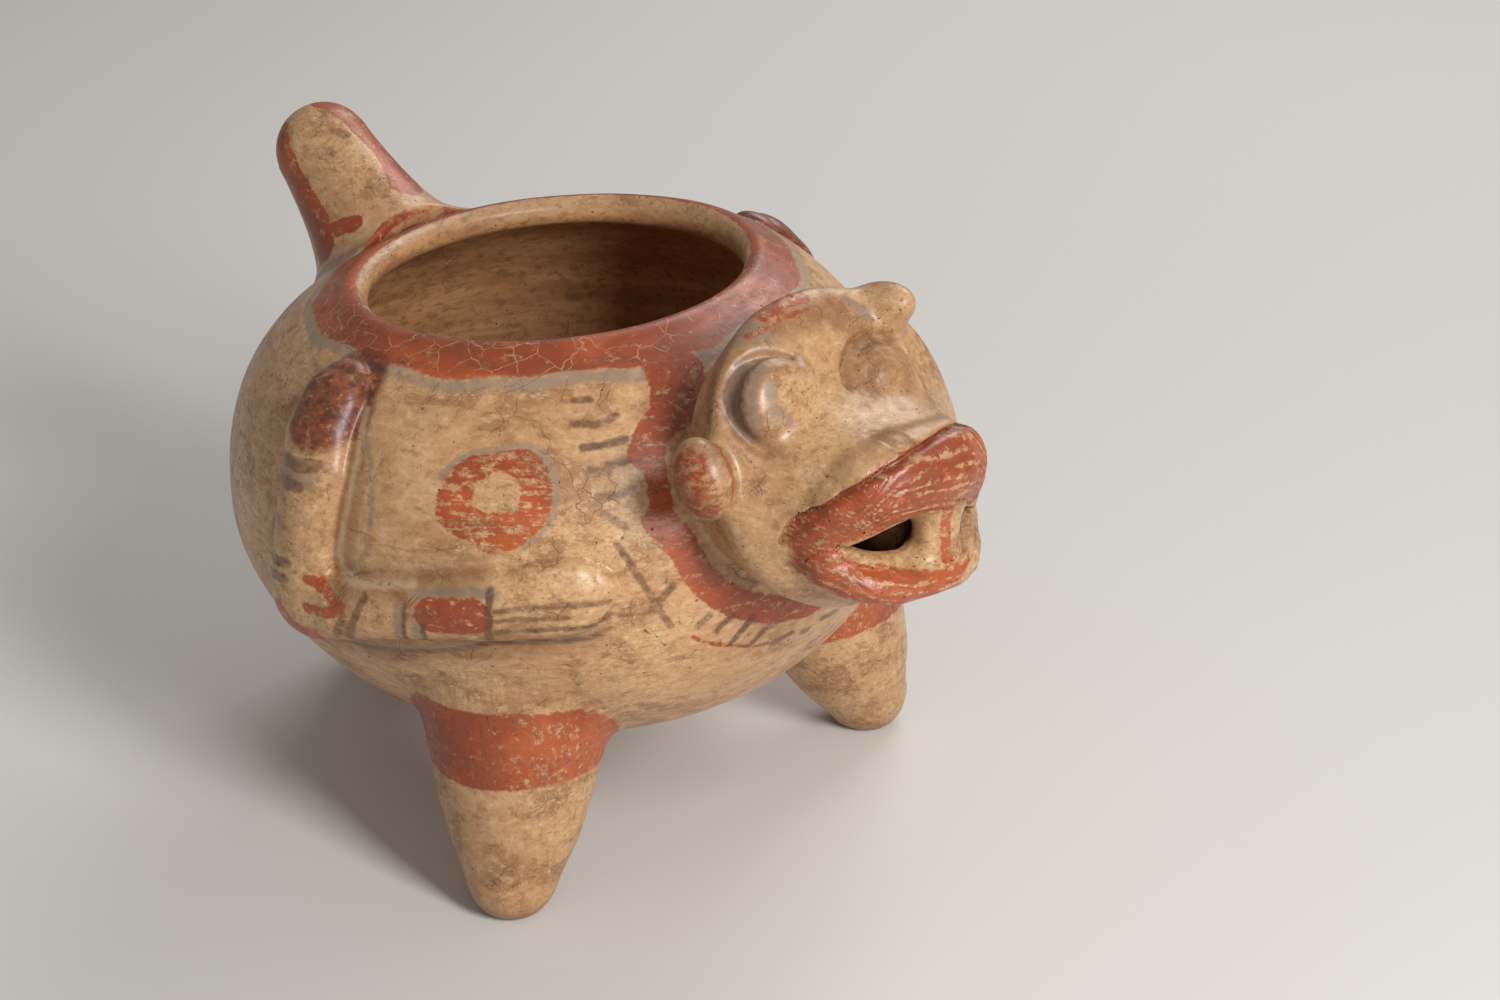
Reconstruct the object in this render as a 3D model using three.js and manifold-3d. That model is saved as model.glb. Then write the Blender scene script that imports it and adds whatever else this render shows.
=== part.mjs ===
// Animal effigy vessel: a hand-built earthenware bowl on three hollow legs, with an animal's
// head in front, a tail behind and a folded arm modelled on either side. Every piece of clay
// was formed by itself and joined to the others with slip, and none of them moves.
// Millimetres. +Z is up, the animal looks along -Y, and its right side is -X.
// The origin lies on the ground, under the middle of the vessel's outline.
import * as THREE from 'three';
import { mergeVertices } from 'three/addons/utils/BufferGeometryUtils.js';
import Module from 'manifold-3d';

const wasm = await Module();
wasm.setup();

// Clay: the thickness of the hand-built wall, and the slip joint between two pieces. A cutter
// runs on past the piece that it cuts by the overrun.
const wallThickness = 7;
const seatGap = 0.3;
const overrunLength = 20;

// Bowl body: round, and flatter above its widest ring than below it
const bowlRadius = 115;
const bowlDepthShare = 1.016;
const equatorHeight = 113.3;
const upperHeight = 82.6;
const lowerHeight = 85.1;
const upperRoundness = 2.3;
const lowerRoundness = 1.956;
const bowlSides = 40;
const lowerRingCount = 8;
const shoulderRingCount = 6;
const crownRingCount = 3;

// Mouth of the bowl: an oval that leans a little, with a thick rounded roll of clay round it
const mouthRadius = 67.5;
const mouthWidthShare = 0.044;
const mouthDepthShare = -0.057;
const mouthShiftLength = 4.6;
const mouthPitchAngle = -2;
const mouthRollAngle = 0.6;
const rimRollRadius = 5.5;
const rimBandWidth = 11;
const rimMeetShare = 0.8;
const rimMeetRingCount = 2;
const rollStartTurn = 50;
const rollEndTurn = 290;
const rollRingCount = 6;

// Legs: hollow cones, splayed, and worn flat where they stand
const legInset = 13;
const legSpreadRadius = bowlRadius - legInset;
const frontLegAngle = 55;
const rearLegAngle = 180;
const legLeanAngle = 21;
const legLength = 92;
const legRootRadius = 44;
const legTipRadius = 15;
const legTipTurn = 20;
const legWallThickness = 8;
const soleDepth = 3.6;
const coneSides = 20;
const tipRingCount = 4;

// Vents: an oval slit in the hidden side of each hollow cone let the steam out in the fire
const ventWidth = 3.4;
const ventHeight = 13;
const ventPlaceShare = 0.5;
const ventSides = 10;

// Tail: a blunt hollow cone that stands out of the back of the shoulder
const tailRiseAngle = 43;
const tailStandLength = 14.3;
const tailCapReach = bowlRadius + tailStandLength;
const tailRiseHeight = 79.6;
const tailCapHeight = equatorHeight + tailRiseHeight;
const tailLength = 82;
const tailRootRadius = 44;
const tailCapRadius = 17.5;
const tailCapTurn = 8;

// Face: a broad shallow dome of clay that leans back and narrows to the neck behind it
const faceStandLength = 8.5;
const faceReach = bowlRadius + faceStandLength;
const faceRiseHeight = 45.6;
const faceHeight = equatorHeight + faceRiseHeight;
const faceLeanAngle = 22;
const faceHalfWidth = 51;
const faceHalfHeight = 49;
const faceDepth = 13;
const faceSideOffset = 1.5;
const faceRoundness = 2.1;
const domeEndTurn = 80;
const domeBendShare = 0.8;
const domeRingCount = 5;
const neckLength = 46;
const headSides = 28;

// Muzzle: a blunt box of clay drawn out of the lower half of the face
const muzzleRootLead = 4.5;
const muzzleRootReach = faceReach + muzzleRootLead;
const muzzleLength = 37;
const muzzleReach = muzzleRootReach + muzzleLength;
const muzzleHalfWidth = 36;
const muzzleDropHeight = 10.9;
const muzzleHeight = faceHeight - muzzleDropHeight;
const muzzleHalfHeight = 23;
const muzzleRoundness = 2.6;
const muzzleTiltAngle = 7;
const mouthSlotWidth = 64;
const mouthSlotHeight = 20;
const slotSegmentCount = 8;

// Lips: two rolls laid along the edge of the muzzle, and the tongue that stands between them
const lipStandDepth = 6;
const lipReach = muzzleReach + lipStandDepth;
const lipHalfWidth = 34;
const lipSweepDepth = 19;
const lipRoundness = 2.8;
const lipTaperPower = 4;
const upperLipDropHeight = 5.5;
const upperLipCornerHeight = muzzleHeight - upperLipDropHeight;
const upperLipRiseHeight = 20;
const upperLipHeight = 30;
const upperLipDepth = 24;
const upperLipEndShare = 0.5;
const lowerLipCornerDrop = 8;
const lowerLipCornerHeight = muzzleHeight - lowerLipCornerDrop;
const lowerLipSagHeight = 9;
const lowerLipHeight = 17;
const lowerLipDepth = 20;
const lowerLipEndShare = 0.62;
const lowerLipLeadDepth = 2;
const lipSectionCount = 16;
const lipSides = 12;
const lipStepShare = 0.01;
const circleRoundness = 2;
const tongueWidth = 19;
const tongueDepth = 13;
const tongueSideOffset = 6;
const tongueSinkDepth = 1;
const tongueWaistShare = 0.15;
const tongueRoundness = 2.6;
const tongueRingCount = 6;

// Eyes and ears: pellets of clay pressed on the face
const eyeWidth = 26;
const eyeStandHeight = 6;
const rightEyeTurn = 143;
const rightEyeOutShare = 0.8;
const leftEyeTurn = 44;
const leftEyeOutShare = 0.44;
const earHeight = 28;
const earWidth = 16;
const earStandHeight = 11;
const rightEarTurn = 172;
const rightEarOutShare = 1.06;
const leftEarWidth = 15;
const leftEarStandHeight = 13;
const leftEarTurn = 49;
const leftEarOutShare = 0.96;
const domeRoundness = 2.5;
const pelletSides = 18;
const pelletRingCount = 12;

// Arms: coils laid on the wall, bent at a sharp elbow and ended by a flat paw
const armWidth = 27;
const armStandHeight = 9;
const leftArmShare = 0.72;
const forearmWidth = 23;
const pawWidth = 21;
const pawStandHeight = 7;
const armRoundness = 2.2;
const armSides = 14;

const radians = THREE.MathUtils.degToRad;
const at = (x, y, z) => new THREE.Vector3(x, y, z);

function solid(geometry) {
  const bare = geometry.clone();
  ['normal', 'uv'].forEach((name) => bare.deleteAttribute(name));
  const merged = mergeVertices(bare);
  const mesh = new wasm.Mesh({
    numProp: 3,
    vertProperties: Float32Array.from(merged.attributes.position.array),
    triVerts: Uint32Array.from(merged.index.array),
  });
  return new wasm.Manifold(mesh);
}

function geometryOf(body) {
  const mesh = body.getMesh();
  const geometry = new THREE.BufferGeometry();
  geometry.setAttribute('position', new THREE.BufferAttribute(mesh.vertProperties, mesh.numProp));
  geometry.setIndex(new THREE.BufferAttribute(mesh.triVerts, 1));
  geometry.computeVertexNormals();
  return geometry;
}

function cut(body, ...cutters) {
  return cutters.reduce((rest, cutter) => rest.subtract(cutter), body);
}

// A solid of revolution about Z, from points given as radius and height
function revolve(profile, sides) {
  const points = profile.map(([radius, height]) => new THREE.Vector2(radius, height));
  return new THREE.LatheGeometry(points, sides).rotateX(Math.PI / 2);
}

// Skins a row of closed rings and closes both ends on their middles. Seen from the first ring
// towards the last, the points of a ring run clockwise.
function loft(rings) {
  const count = rings[0].length;
  const points = rings.flat();
  const index = [];
  for (let ring = 0; ring + 1 < rings.length; ring += 1) {
    for (let side = 0; side < count; side += 1) {
      const a = ring * count + side;
      const b = ring * count + ((side + 1) % count);
      index.push(a, b, b + count, a, b + count, a + count);
    }
  }
  for (const [ring, turn] of [[0, 1], [rings.length - 1, 0]]) {
    const middle = rings[ring].reduce((sum, point) => sum.add(point), at(0, 0, 0));
    points.push(middle.divideScalar(count));
    for (let side = 0; side < count; side += 1) {
      const edge = [ring * count + side, ring * count + ((side + 1) % count)];
      index.push(edge[turn], edge[1 - turn], points.length - 1);
    }
  }
  const geometry = new THREE.BufferGeometry().setFromPoints(points);
  geometry.setIndex(index);
  return geometry;
}

// One ring between a circle (roundness 2) and a rounded box, from its two half axes
function ringOf(middle, across, along, roundness, sides) {
  const bend = (value) => Math.sign(value) * Math.abs(value) ** (2 / roundness);
  return Array.from({ length: sides }, (_, side) => {
    const angle = (2 * Math.PI * side) / sides;
    return middle.clone()
      .addScaledVector(across, bend(Math.cos(angle)))
      .addScaledVector(along, bend(Math.sin(angle)));
  });
}

// Bowl
function bowlRadiusAt(height, grow = 0) {
  const above = height > equatorHeight;
  const reach = (above ? upperHeight : lowerHeight) + grow;
  const roundness = above ? upperRoundness : lowerRoundness;
  const share = Math.min(Math.abs(height - equatorHeight) / reach, 1);
  return (bowlRadius + grow) * (1 - share ** roundness) ** (1 / roundness);
}

// A point of the bowl's outline, from the turn below (-90) or above (90) its widest ring
function bowlPoint(turn, grow) {
  const roundness = turn > 0 ? upperRoundness : lowerRoundness;
  const reach = (turn > 0 ? upperHeight : lowerHeight) + grow;
  const [c, s] = [Math.cos(radians(turn)), Math.sin(radians(Math.abs(turn)))];
  const radius = (bowlRadius + grow) * Math.max(c, 0) ** (2 / roundness);
  return [radius, equatorHeight + Math.sign(turn) * reach * s ** (2 / roundness)];
}

const turnAtRadius = (radius) => (
  THREE.MathUtils.radToDeg(Math.acos((radius / bowlRadius) ** (upperRoundness / 2))));
const rimOuterTurn = turnAtRadius(mouthRadius + rimBandWidth);
const mouthCrest = equatorHeight
  + upperHeight * (1 - (mouthRadius / bowlRadius) ** upperRoundness) ** (1 / upperRoundness);

const steps = (from, to, count) => (
  Array.from({ length: count + 1 }, (_, i) => from + ((to - from) * i) / count));

// The hand-built bowl is not round at its mouth: it grows oval and leans as it rises
function settle(geometry) {
  const position = geometry.attributes.position;
  for (let i = 0; i < position.count; i += 1) {
    const point = settlePoint(new THREE.Vector3().fromBufferAttribute(position, i));
    position.setXYZ(i, point.x, point.y, point.z);
  }
  return geometry;
}

function settlePoint({ x, y, z }) {
  const rise = THREE.MathUtils.clamp((z - equatorHeight) / (mouthCrest - equatorHeight), 0, 1);
  const share = rise ** 3;
  const depth = y * bowlDepthShare;
  const lean = depth * Math.tan(radians(mouthPitchAngle)) + x * Math.tan(radians(mouthRollAngle));
  return at(
    x * (1 + mouthWidthShare * share),
    depth * (1 + mouthDepthShare * share) + mouthShiftLength * share,
    z + lean * share,
  );
}

function bowlSolid(grow) {
  const below = steps(-90, 0, lowerRingCount).map((turn) => bowlPoint(turn, grow));
  const shoulder = steps(0, rimOuterTurn, shoulderRingCount).slice(1);
  const top = steps(rimOuterTurn, 90, crownRingCount).slice(1);
  const above = [...shoulder, ...top].map((turn) => bowlPoint(turn, grow));
  return solid(settle(revolve([...below, ...above], bowlSides)));
}

function bowlLower() {
  const turns = steps(-90, 0, lowerRingCount);
  const outside = turns.map((turn) => bowlPoint(turn, 0));
  const inside = turns.map((turn) => bowlPoint(turn, -wallThickness)).reverse();
  return solid(settle(revolve([...outside, ...inside], bowlSides)));
}

function bowlShoulder() {
  const turns = steps(0, rimOuterTurn, shoulderRingCount);
  const outside = turns.map((turn) => bowlPoint(turn, 0));
  const inside = turns.map((turn) => bowlPoint(turn, -wallThickness)).reverse();
  const ring = [...outside, ...inside];
  [ring[0], ring[ring.length - 1]].forEach((point) => { point[1] += seatGap; });
  return solid(settle(revolve([...ring, ring[0]], bowlSides)));
}

function rimRoll(grow) {
  const seam = turnAtRadius(mouthRadius + rimBandWidth - seatGap + grow);
  const meet = turnAtRadius(mouthRadius + rimRollRadius * rimMeetShare);
  const outside = steps(seam, meet, rimMeetRingCount).map((turn) => bowlPoint(turn, grow));
  const roll = steps(rollStartTurn, rollEndTurn, rollRingCount).map((turn) => [
    mouthRadius + (rimRollRadius + grow) * Math.cos(radians(turn)),
    mouthCrest - rimRollRadius + (rimRollRadius + grow) * Math.sin(radians(turn)),
  ]);
  const ring = [...outside, ...roll, bowlPoint(seam, -wallThickness)];
  return solid(settle(revolve([...ring, ring[0]], bowlSides)));
}

// Legs and tail
const legTaperShares = [
  [0.40, 0.21], [0.49, 0.31], [0.57, 0.46], [0.64, 0.60], [0.70, 0.70], [0.78, 0.80], [0.86, 0.90],
  [0.90, 1.04],
];
const tailTaperShares = [
  [0.41, 0.25], [0.45, 0.40], [0.50, 0.55], [0.57, 0.68], [0.67, 0.80], [0.80, 0.90], [0.88, 1.06],
];

// A cone that stands on its round tip, as a solid or with the hollow that opens at its root
function cone(tipRadius, tipTurn, length, rootRadius, taperShares) {
  const tip = steps(-90, -tipTurn, tipRingCount).map((turn) => [
    tipRadius * Math.cos(radians(turn)),
    tipRadius + tipRadius * Math.sin(radians(turn)),
  ]);
  const side = taperShares.map(([r, h]) => [r * rootRadius, h * length]);
  return [...tip, ...side];
}

function hollow(profile, thickness) {
  const inner = profile.map(([radius, height]) => [Math.max(radius - thickness, 0), height]);
  const first = inner.findIndex(([radius]) => radius > 0);
  const open = inner.slice(first);
  const [lastRadius, lastHeight] = open[open.length - 1];
  const end = lastHeight + overrunLength;
  return [[0, open[0][1]], ...open, [lastRadius, end], [0, end]];
}

const closed = (profile) => [...profile, [0, profile[profile.length - 1][1]]];

function legPlace(angle) {
  const outward = radians(angle);
  const place = new THREE.Matrix4().makeRotationZ(outward);
  place.multiply(new THREE.Matrix4().makeTranslation(0, -legSpreadRadius, legTipRadius - soleDepth));
  place.multiply(new THREE.Matrix4().makeRotationX(radians(-legLeanAngle)));
  return place.multiply(new THREE.Matrix4().makeTranslation(0, 0, -legTipRadius));
}

// The slit runs from the cone's axis out through its wall
function vent(rootRadius, length, side) {
  const geometry = new THREE.CylinderGeometry(ventWidth / 2, ventWidth / 2, rootRadius, ventSides);
  geometry.scale(1, 1, ventHeight / ventWidth);
  return geometry.translate(0, (side * rootRadius) / 2, length * ventPlaceShare);
}

function leg(angle, bowlCutter) {
  const profile = cone(legTipRadius, legTipTurn, legLength, legRootRadius, legTaperShares);
  const place = legPlace(angle);
  const outer = solid(revolve(closed(profile), coneSides).applyMatrix4(place));
  const inner = solid(revolve(hollow(profile, legWallThickness), coneSides).applyMatrix4(place));
  const slit = solid(vent(legRootRadius, legLength, 1).applyMatrix4(place));
  const groundWidth = 2 * (bowlRadius + legLength);
  const ground = new THREE.BoxGeometry(groundWidth, groundWidth, overrunLength);
  return cut(outer, bowlCutter, inner, slit, solid(ground.translate(0, 0, -overrunLength / 2)));
}

function tail(bowlCutter) {
  const profile = cone(tailCapRadius, tailCapTurn, tailLength, tailRootRadius, tailTaperShares);
  const place = new THREE.Matrix4().makeTranslation(0, tailCapReach, tailCapHeight);
  place.multiply(new THREE.Matrix4().makeRotationX(radians(90 + tailRiseAngle)));
  place.multiply(new THREE.Matrix4().makeTranslation(0, 0, -tailCapRadius));
  const outer = solid(revolve(closed(profile), coneSides).applyMatrix4(place));
  const inner = solid(revolve(hollow(profile, wallThickness), coneSides).applyMatrix4(place));
  const slit = solid(vent(tailRootRadius, tailLength, -1).applyMatrix4(place));
  return cut(outer, bowlCutter, rimRoll(seatGap), inner, slit);
}

// Head: its own frame has the face's middle as origin, x across, y up the face, z out of it
const faceFrame = new THREE.Matrix4().makeTranslation(faceSideOffset, -faceReach, faceHeight)
  .multiply(new THREE.Matrix4().makeRotationX(radians(90 - faceLeanAngle)));
// Rows from the neck to the face: depth share, width share, height share
const faceRowShares = [
  [-1, 0.50, 0.50], [-0.75, 0.62, 0.64], [-0.5, 0.72, 0.76], [-0.3, 0.83, 0.87],
  [-0.16, 0.93, 0.95], [-0.06, 0.985, 0.99], [0, 1, 1],
];

function faceSolid(grow) {
  const [width, height] = [faceHalfWidth + grow, faceHalfHeight + grow];
  const behind = faceRowShares.map(([place, w, h]) => [place * (neckLength + grow), w, h]);
  const before = steps(0, domeEndTurn, domeRingCount).slice(1).map((turn) => {
    const share = Math.cos(radians(turn)) ** domeBendShare;
    return [(faceDepth + grow) * Math.sin(radians(turn)), share, share];
  });
  const rings = [...behind, ...before].map(([depth, w, h]) => {
    const [across, upward] = [at(w * width, 0, 0), at(0, h * height, 0)];
    return ringOf(at(0, 0, depth), across, upward, faceRoundness, headSides);
  });
  return solid(loft(rings).applyMatrix4(faceFrame));
}

// The mouth hangs a little lower on the animal's left
const muzzleFrame = new THREE.Matrix4().makeTranslation(0, 0, muzzleHeight)
  .multiply(new THREE.Matrix4().makeRotationY(radians(muzzleTiltAngle)))
  .multiply(new THREE.Matrix4().makeTranslation(0, 0, -muzzleHeight));

// Muzzle rows from the face to the front: reach share, width share, height share
const muzzleRowShares = [
  [0, 1.02, 1.10], [0.35, 1.02, 1.06], [0.62, 0.96, 1], [0.82, 0.84, 0.92],
  [0.94, 0.66, 0.80], [1, 0.42, 0.60],
];

function muzzleSolid(grow) {
  const rings = muzzleRowShares.map(([reach, w, h]) => {
    const forward = muzzleRootReach + (muzzleReach + grow - muzzleRootReach) * reach;
    const across = at(w * (muzzleHalfWidth + grow), 0, 0);
    const upward = at(0, 0, h * (muzzleHalfHeight + grow));
    return ringOf(at(0, -forward, muzzleHeight), across, upward, muzzleRoundness, headSides);
  });
  return solid(loft(rings).applyMatrix4(muzzleFrame));
}

function headSolid(grow) {
  return faceSolid(grow).add(muzzleSolid(grow));
}

// Where the lips run: a point on the muzzle's bent front, from its share of the half width
function lipPoint(share, reach, height) {
  const back = lipSweepDepth * Math.abs(share) ** lipRoundness;
  return at(share * lipHalfWidth, back - reach, height);
}

function lip(grow, reach, height, depth, heightAt, swell) {
  const rings = steps(-1, 1, lipSectionCount).map((share) => {
    const middle = lipPoint(share, reach - depth / 2, heightAt(share));
    const next = share + lipStepShare;
    const ahead = lipPoint(next, reach - depth / 2, heightAt(next));
    const run = ahead.sub(middle).normalize();
    const out = at(0, -1, 0).addScaledVector(run, run.y).normalize();
    const rise = new THREE.Vector3().crossVectors(out, run).negate();
    const size = swell(share);
    return ringOf(
      middle,
      out.multiplyScalar((depth / 2) * size + grow),
      rise.multiplyScalar((height / 2) * size + grow),
      circleRoundness,
      lipSides,
    );
  });
  return solid(loft(rings).applyMatrix4(muzzleFrame));
}

// How thick a lip is along its run: full in the middle and drawn in at both corners
const lipSwell = (endShare) => (share) => endShare + (1 - endShare) * (1 - share ** lipTaperPower);

const upperLip = (grow) => lip(
  grow,
  lipReach,
  upperLipHeight,
  upperLipDepth,
  (share) => upperLipCornerHeight + upperLipRiseHeight * (1 - share ** 2),
  lipSwell(upperLipEndShare),
);
const lowerLip = (grow) => lip(
  grow,
  lipReach + lowerLipLeadDepth,
  lowerLipHeight,
  lowerLipDepth,
  (share) => lowerLipCornerHeight - lowerLipSagHeight * (1 - share ** 2),
  lipSwell(lowerLipEndShare),
);

function mouthSlot(grow) {
  const half = mouthSlotWidth / 2 + grow;
  const rise = mouthSlotHeight / 2 + grow;
  const outline = new THREE.Shape();
  outline.moveTo(-half, 0);
  outline.quadraticCurveTo(0, -2 * rise, half, 0);
  outline.quadraticCurveTo(0, 2 * rise, -half, 0);
  const depth = muzzleReach - muzzleRootReach + overrunLength;
  const options = { depth, bevelEnabled: false, curveSegments: slotSegmentCount };
  const geometry = new THREE.ExtrudeGeometry(outline, options);
  geometry.rotateX(Math.PI / 2);
  return solid(geometry.translate(0, -muzzleRootReach, muzzleHeight).applyMatrix4(muzzleFrame));
}

// The wall of the head round its hollow and its open mouth
function headWall(grow) {
  return cut(headSolid(grow), headSolid(-wallThickness - grow), mouthSlot(-grow));
}

function tongue(cutters) {
  const low = lowerLipCornerHeight - lowerLipSagHeight;
  const high = upperLipCornerHeight + upperLipRiseHeight;
  const back = tongueDepth / 2 + tongueSinkDepth - lipReach;
  const rings = steps(0, 1, tongueRingCount).map((share) => {
    const waist = 1 - tongueWaistShare * Math.sin(Math.PI * share);
    const across = at((tongueWidth / 2) * waist, 0, 0);
    const along = at(0, (tongueDepth / 2) * waist, 0);
    const middle = at(tongueSideOffset, back, low + (high - low) * share);
    return ringOf(middle, across, along, tongueRoundness, lipSides);
  });
  return cut(solid(loft(rings).applyMatrix4(muzzleFrame)), ...cutters);
}

// A pellet pressed on the face, at a turn round the face's middle and a share of its radius
function pellet(turn, outShare, width, height, stand) {
  const [c, s] = [Math.cos(radians(turn)), Math.sin(radians(turn))];
  const lift = faceDepth * Math.sqrt(Math.max(1 - outShare ** domeRoundness, 0));
  const radius = width / 2;
  const geometry = new THREE.SphereGeometry(radius, pelletSides, pelletRingCount);
  geometry.scale(1, height / width, stand / radius);
  geometry.translate(c * outShare * faceHalfWidth, s * outShare * faceHalfHeight, lift);
  return solid(geometry.applyMatrix4(faceFrame));
}

// Arms: each follows the bowl's wall, from the turn away from the head and the height share
function onWall(turn, heightShare, side) {
  const height = equatorHeight + heightShare * upperHeight;
  const radius = bowlRadiusAt(height);
  const around = radians(turn);
  return settlePoint(at(-side * radius * Math.sin(around), -radius * Math.cos(around), height));
}

function outOfWall(turn, heightShare, side) {
  const height = equatorHeight + heightShare * upperHeight;
  const step = seatGap;
  const slope = (bowlRadiusAt(height - step) - bowlRadiusAt(height + step)) / (2 * step);
  const around = radians(turn);
  return at(-side * Math.sin(around), -Math.cos(around), slope).normalize();
}

// Rows of an arm piece: turn from the head in degrees, height share, width share, stand share
const upperArmShares = [
  [89, 0.75, 0.40, 0.30], [89, 0.72, 0.70, 0.75], [89, 0.65, 0.88, 1.10], [89, 0.55, 0.94, 1.15],
  [88, 0.43, 0.95, 0.95], [88, 0.30, 0.92, 0.85], [88.5, 0.15, 0.95, 0.85], [89, 0, 1, 1],
  [89, -0.13, 1, 1.15], [89, -0.20, 0.75, 0.95], [89, -0.235, 0.40, 0.45],
];
const forearmShares = [
  [90, -0.125, 0.9, 0.8], [86, -0.10, 1.05, 1.05], [81, -0.07, 1, 1],
  [74, -0.02, 0.95, 0.85], [66, 0.025, 0.95, 0.8], [60, 0.05, 0.95, 0.8], [55, 0.07, 0.95, 0.75],
];
const pawShares = [
  [55.4, 0.07, 1, 0.95], [51, 0.08, 1.1, 1], [46, 0.10, 1.22, 1.05], [41, 0.12, 1.2, 1],
  [36, 0.14, 0.95, 0.75], [33.5, 0.15, 0.5, 0.35],
];

function limb(rows, width, stand, side, grow = 0) {
  const points = rows.map(([turn, height]) => onWall(turn, height, side));
  const rings = rows.map(([turn, height, w, s], i) => {
    const out = outOfWall(turn, height, side);
    const ahead = points[Math.min(i + 1, rows.length - 1)];
    const run = ahead.clone().sub(points[Math.max(i - 1, 0)]).normalize();
    const across = new THREE.Vector3().crossVectors(run, out).normalize();
    return ringOf(
      points[i],
      out.multiplyScalar(stand * s + grow),
      across.multiplyScalar((width / 2) * w + grow),
      armRoundness,
      armSides,
    );
  });
  return solid(loft(rings));
}

// Assembly: each piece is cut by the pieces that it was pressed on
const vessel = new THREE.Group();

const slips = {
  buff: { color: 0xc9a878, roughness: 0.5, metalness: 0 },
  red: { color: 0xa8452a, roughness: 0.45, metalness: 0 },
};

function add(name, body, slip) {
  const mesh = new THREE.Mesh(geometryOf(body), new THREE.MeshStandardMaterial(slips[slip]));
  mesh.name = name;
  vessel.add(mesh);
}

const bowlCutter = bowlSolid(seatGap);
const headCutter = headSolid(seatGap);

add('bowl_lower', bowlLower(), 'buff');
add('bowl_shoulder', bowlShoulder(), 'buff');
add('rim_roll', rimRoll(0), 'red');
add('leg_front_right', leg(-frontLegAngle, bowlCutter), 'buff');
add('leg_front_left', leg(frontLegAngle, bowlCutter), 'buff');
add('leg_rear', leg(rearLegAngle, bowlCutter), 'buff');
add('tail', tail(bowlCutter), 'buff');
add('head_shell', cut(headWall(0), bowlCutter), 'buff');

const upperLipCutter = cut(upperLip(seatGap), mouthSlot(-seatGap));
add('upper_lip', cut(upperLip(0), headCutter, mouthSlot(0)), 'red');
add('lower_lip', cut(lowerLip(0), headCutter, upperLip(seatGap)), 'red');
add('tongue', tongue([headWall(seatGap), upperLipCutter, lowerLip(seatGap)]), 'buff');

const pellets = [
  ['eye_right', rightEyeTurn, rightEyeOutShare, eyeWidth, eyeWidth, eyeStandHeight, 'buff'],
  ['eye_left', leftEyeTurn, leftEyeOutShare, eyeWidth, eyeWidth, eyeStandHeight, 'buff'],
  ['ear_right', rightEarTurn, rightEarOutShare, earWidth, earHeight, earStandHeight, 'red'],
  ['ear_left', leftEarTurn, leftEarOutShare, leftEarWidth, leftEarWidth, leftEarStandHeight, 'buff'],
];
pellets.forEach(([name, turn, out, width, height, stand, slip]) => {
  add(name, cut(pellet(turn, out, width, height, stand), headCutter, bowlCutter), slip);
});

// The left arm stands out less than the right one
for (const [sideName, side, share] of [['right', 1, 1], ['left', -1, leftArmShare]]) {
  const forearm = limb(forearmShares, forearmWidth, armStandHeight * share, side);
  const forearmCutter = limb(forearmShares, forearmWidth, armStandHeight * share, side, seatGap);
  const upperArm = limb(upperArmShares, armWidth, armStandHeight * share, side);
  const upperArmCutter = limb(upperArmShares, armWidth, armStandHeight * share, side, seatGap);
  const paw = limb(pawShares, pawWidth, pawStandHeight * share, side);
  add(`upper_arm_${sideName}`, cut(upperArm, bowlCutter), 'buff');
  add(`forearm_${sideName}`, cut(forearm, bowlCutter, upperArmCutter), 'buff');
  add(`paw_${sideName}`, cut(paw, bowlCutter, forearmCutter, headCutter), 'buff');
}

const outline = new THREE.Box3().setFromObject(vessel);
const middle = outline.getCenter(at(0, 0, 0));
vessel.position.set(-middle.x, -middle.y, -outline.min.z);

export default vessel;
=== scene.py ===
# Animal effigy vessel: a hand-built earthenware bowl on three hollow legs, with an animal's head
# in front, a tail behind and folded arms in relief. Slip-painted and burnished, then fired.
# The script follows the pot as it is put together: bowl, legs, tail, head, arms, and then the
# studio. Shapes are worked out in millimetres about the bowl's own axis.
import math
import bpy
import numpy as np
from mathutils import Matrix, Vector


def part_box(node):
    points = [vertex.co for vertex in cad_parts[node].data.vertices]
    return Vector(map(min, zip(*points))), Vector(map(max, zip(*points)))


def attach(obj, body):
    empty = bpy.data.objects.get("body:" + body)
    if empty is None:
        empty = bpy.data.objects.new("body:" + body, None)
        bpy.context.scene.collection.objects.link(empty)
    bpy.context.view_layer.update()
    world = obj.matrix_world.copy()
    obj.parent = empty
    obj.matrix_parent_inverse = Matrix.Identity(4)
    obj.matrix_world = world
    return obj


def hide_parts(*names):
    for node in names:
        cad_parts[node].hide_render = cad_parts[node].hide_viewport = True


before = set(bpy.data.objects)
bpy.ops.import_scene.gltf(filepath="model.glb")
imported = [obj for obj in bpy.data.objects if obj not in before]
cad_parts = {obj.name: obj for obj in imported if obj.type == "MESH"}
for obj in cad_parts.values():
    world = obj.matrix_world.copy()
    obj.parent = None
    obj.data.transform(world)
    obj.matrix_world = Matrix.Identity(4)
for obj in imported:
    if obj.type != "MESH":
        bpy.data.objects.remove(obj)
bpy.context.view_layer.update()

# ------------------------------
# Bowl. A round pot of coiled and scraped clay in three pieces: the lower half, the shoulder that
# was built up on it, and the thick roll laid round the mouth. It isn't quite round: the mouth
# grew oval, and leans a little. Fingers and the scraper left a gentle unevenness all over.
outline_middle = np.array([1.3305, 13.1053, 0.0])
wall = 7.0
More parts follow.
